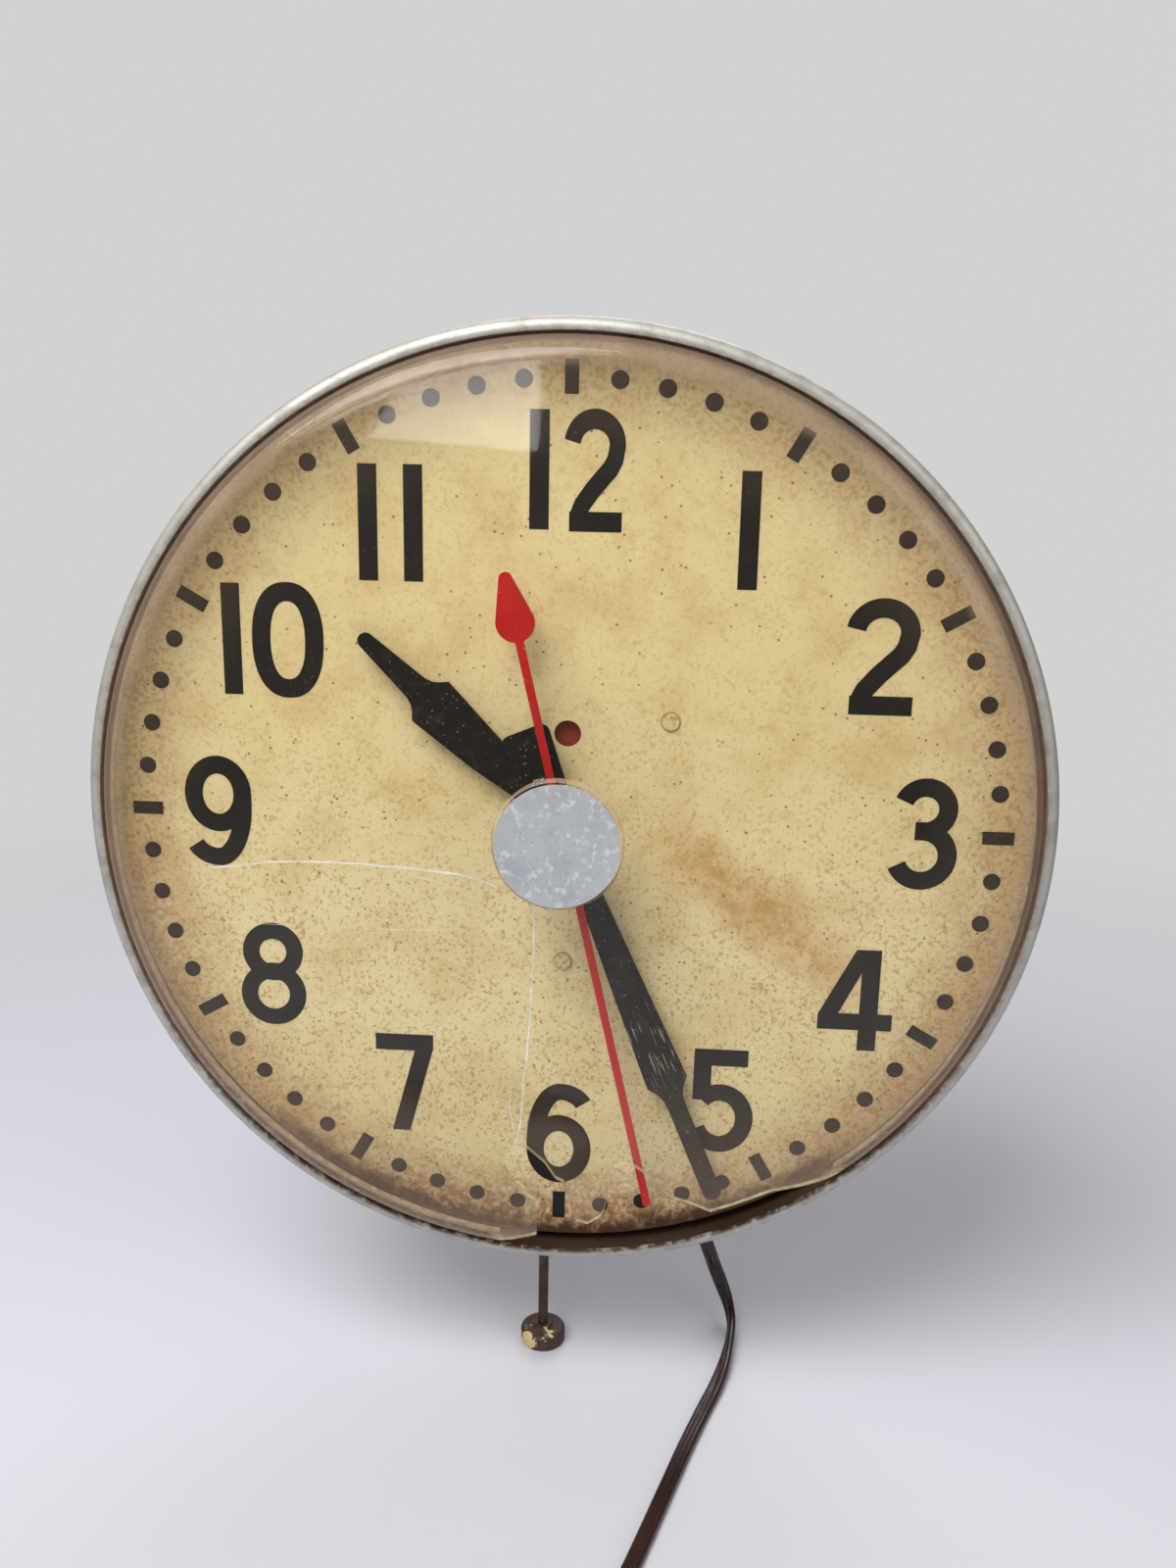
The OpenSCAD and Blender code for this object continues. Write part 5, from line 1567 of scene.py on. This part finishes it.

# %% [markdown]
# ## Clear plastic
#
# Clear plastic shows what lies behind it and mirrors what lies before it. Real refraction through a
# thin shell costs many light bounces and shifts nothing that can be seen, so the glass is mixed from
# a see-through shader and a mirror, with more mirror at glancing angles. For plastic, Schlick's rule
# gives 0.04 plus 0.96 times the fifth power of how far the face turns away; the dome's two faces
# share that 0.04 here, since the dirt on them dulls the mirror. A film of dust lies over both; low on
# the dome it is thicker, partly dust and partly a painted reflection of the pale floor. Dark dirt is
# caked where the rim covers the lower edge.

# %% Crystal finish
def drifting(s, tone):
    """A film colour that drifts between itself and a darker one."""
    return s.mix(s.noise(12, 5), srgb(*tone), srgb(*[c * 0.7 for c in tone]))


def clear(name, tint, film, rough):
    """Clear plastic under a film; film is a function that gives the film's cover and its colour."""
    s = Shader(name)
    facing = s.node("LayerWeight", {}, {"Blend": 0.5})["Facing"]
    mirror = s.node("BsdfGlossy", {}, {"Roughness": rough, "Normal": s.bump(s.noise(30, 2), 0.08)})
    through = s.node("BsdfTransparent", {}, {"Color": tint})
    glass = s.node("MixShader", {}, {0: 0.02 + 0.98 * facing ** 5, 1: through, 2: mirror})
    cover, color = film(s)
    # The film's own shader: dirt, and low on the dome also a painted reflection of the floor.
    dust = s.gloss({"Base Color": color, "Roughness": 0.7})
    return s.done(s.node("MixShader", {}, {0: cover, 1: glass, 2: dust}))


def crystal_film(s):
    """Thin dust on the dome, thicker low down where it is partly a painted reflection of the pale floor,
    a dirty ring round its shoulder, and dark dirt on the lower lip.
    """
    shoulder = s.step(s.radius + (s.noise(20, 4) - 0.5) * 5, 153, 160)
    lower = 1 - s.step(s.y, -150, 20)
    runs = s.step(s.noise(4, 5, 0.7), 0.5, 0.7)
    specks = s.dots(2.6, 0.1) * s.step(s.noise(16, 3), 0.5, 0.6)
    # The lower part of the dome gets a thicker film: partly dust, partly a painted reflection of the pale
    # floor.
    bottom = 1 - s.step(s.y + (s.noise(30, 3) - 0.5) * 30, -120, -78)
    haze_and_floor_reflection = 0.004 + bottom * 0.04 + s.step(s.radius, 118, 156) * 0.03 * (0.5 + s.noise(30, 5))
    boss = s.step(s.z, 25.8, 26.4) * s.step(s.radius, 21.7, 22.2)
    caked = s.step(s.radius, 165.0, 165.8) * (1 - s.step(s.y + (s.noise(12, 4) - 0.5) * 20, -140, -112))
    cover = haze_and_floor_reflection + shoulder * (0.2 + runs * (0.08 + lower * 0.2)) + specks * 0.25 + boss * 0.4
    return cover + caked * 0.85, s.mix(caked, drifting(s, (214, 184, 156)), srgb(48, 28, 14))


def crack_film(s):
    """The bright air in a crack, brighter in places."""
    return 0.65 + s.step(s.noise(7, 4), 0.35, 0.65) * 0.35, drifting(s, (240, 236, 224))


def edge_film(s):
    """The broken edge, frosted where it tore and clear where it snapped."""
    return 0.45 + s.step(s.noise(4, 4), 0.35, 0.7) * 0.5, drifting(s, (226, 212, 180))


finishes["clear_plastic"] = clear("clear_plastic", (0.97, 0.96, 0.92, 1), crystal_film, 0.04)
cut_edge = clear("crystal_edge", (0.9, 0.88, 0.8, 1), edge_film, 0.15)
crack_white = clear("crack_white", (0.95, 0.95, 0.93, 1), crack_film, 0.2)
print("all finishes", len(finishes))

# %% [markdown]
# ## Put every finish on
#
# The record names a finish for every part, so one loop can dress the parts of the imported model, and
# the pieces made here carry the same names. Keeping the choice in one table, rather than painting
# each piece where it is made, lets the clock be repainted from one place. A few pieces then get
# their own variation: the ink, the cream screws, the cracks, and the faces of the crystal that stand
# upright where it tore.

# %% Dress
slot_of = {part["node"]: part["material_slot"] for part in frame["record"]["subparts"]}


def paint(thing, material):
    """Make a material the only one of an object."""
    thing.data.materials.clear()
    thing.data.materials.append(material)


for name, slot in slot_of.items():
    paint(bpy.data.objects[name], finishes[slot])
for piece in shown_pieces():
    if piece.get("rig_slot") in finishes:
        paint(piece, finishes[piece["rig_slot"]])
paint(numbers, ink)
paint(bpy.data.objects["dial_screws"], screw_cream)
paint(cracks, crack_white)
crystal.data.materials.append(cut_edge)
TORN_FROM_R, TORN_TO_R = 60, 164.8
TORN_SLOPE = 0.08
edges_found = 0
for face in crystal.data.polygons:
    x, z = (face.center.x - AXIS_X) / MM, (face.center.z - AXIS_Z) / MM
    if TORN_FROM_R < math.hypot(x, z) < TORN_TO_R and abs(face.normal.y) < TORN_SLOPE:
        face.material_index = 1
        edges_found += 1
print("dressed", len(slot_of), "parts; broken edges", edges_found)

# %% [markdown]
# ## The paper under the clock
#
# The surface is pale paper, and it is never quite even: a slow drift of tone and a fine grain are
# enough. It has to end without an edge, so a Mix Shader turns it into a see-through one with the
# distance from the clock, and the sky takes over. A larger disc would only move the edge.

# %% Floor finish
FADE_FROM, FADE_TO = 420, 1050
s = Shader("floor_paper")
far = (s.x * s.x + s.z * s.z) ** 0.5
grain = s.noise(1.2, 3)
tone = s.mix(s.noise(300, 3), srgb(193, 192, 198), srgb(186, 185, 192))
tone = s.mix(grain * 0.15, tone, srgb(175, 174, 182))
paper = s.gloss({"Base Color": tone, "Roughness": 0.75})
empty = s.node("BsdfTransparent", {}, {"Color": (1, 1, 1, 1)})
paint(floor, s.done(s.node("MixShader", {}, {0: s.step(far, FADE_FROM, FADE_TO), 1: paper, 2: empty})))
print("paper nodes", len(s.tree.nodes))
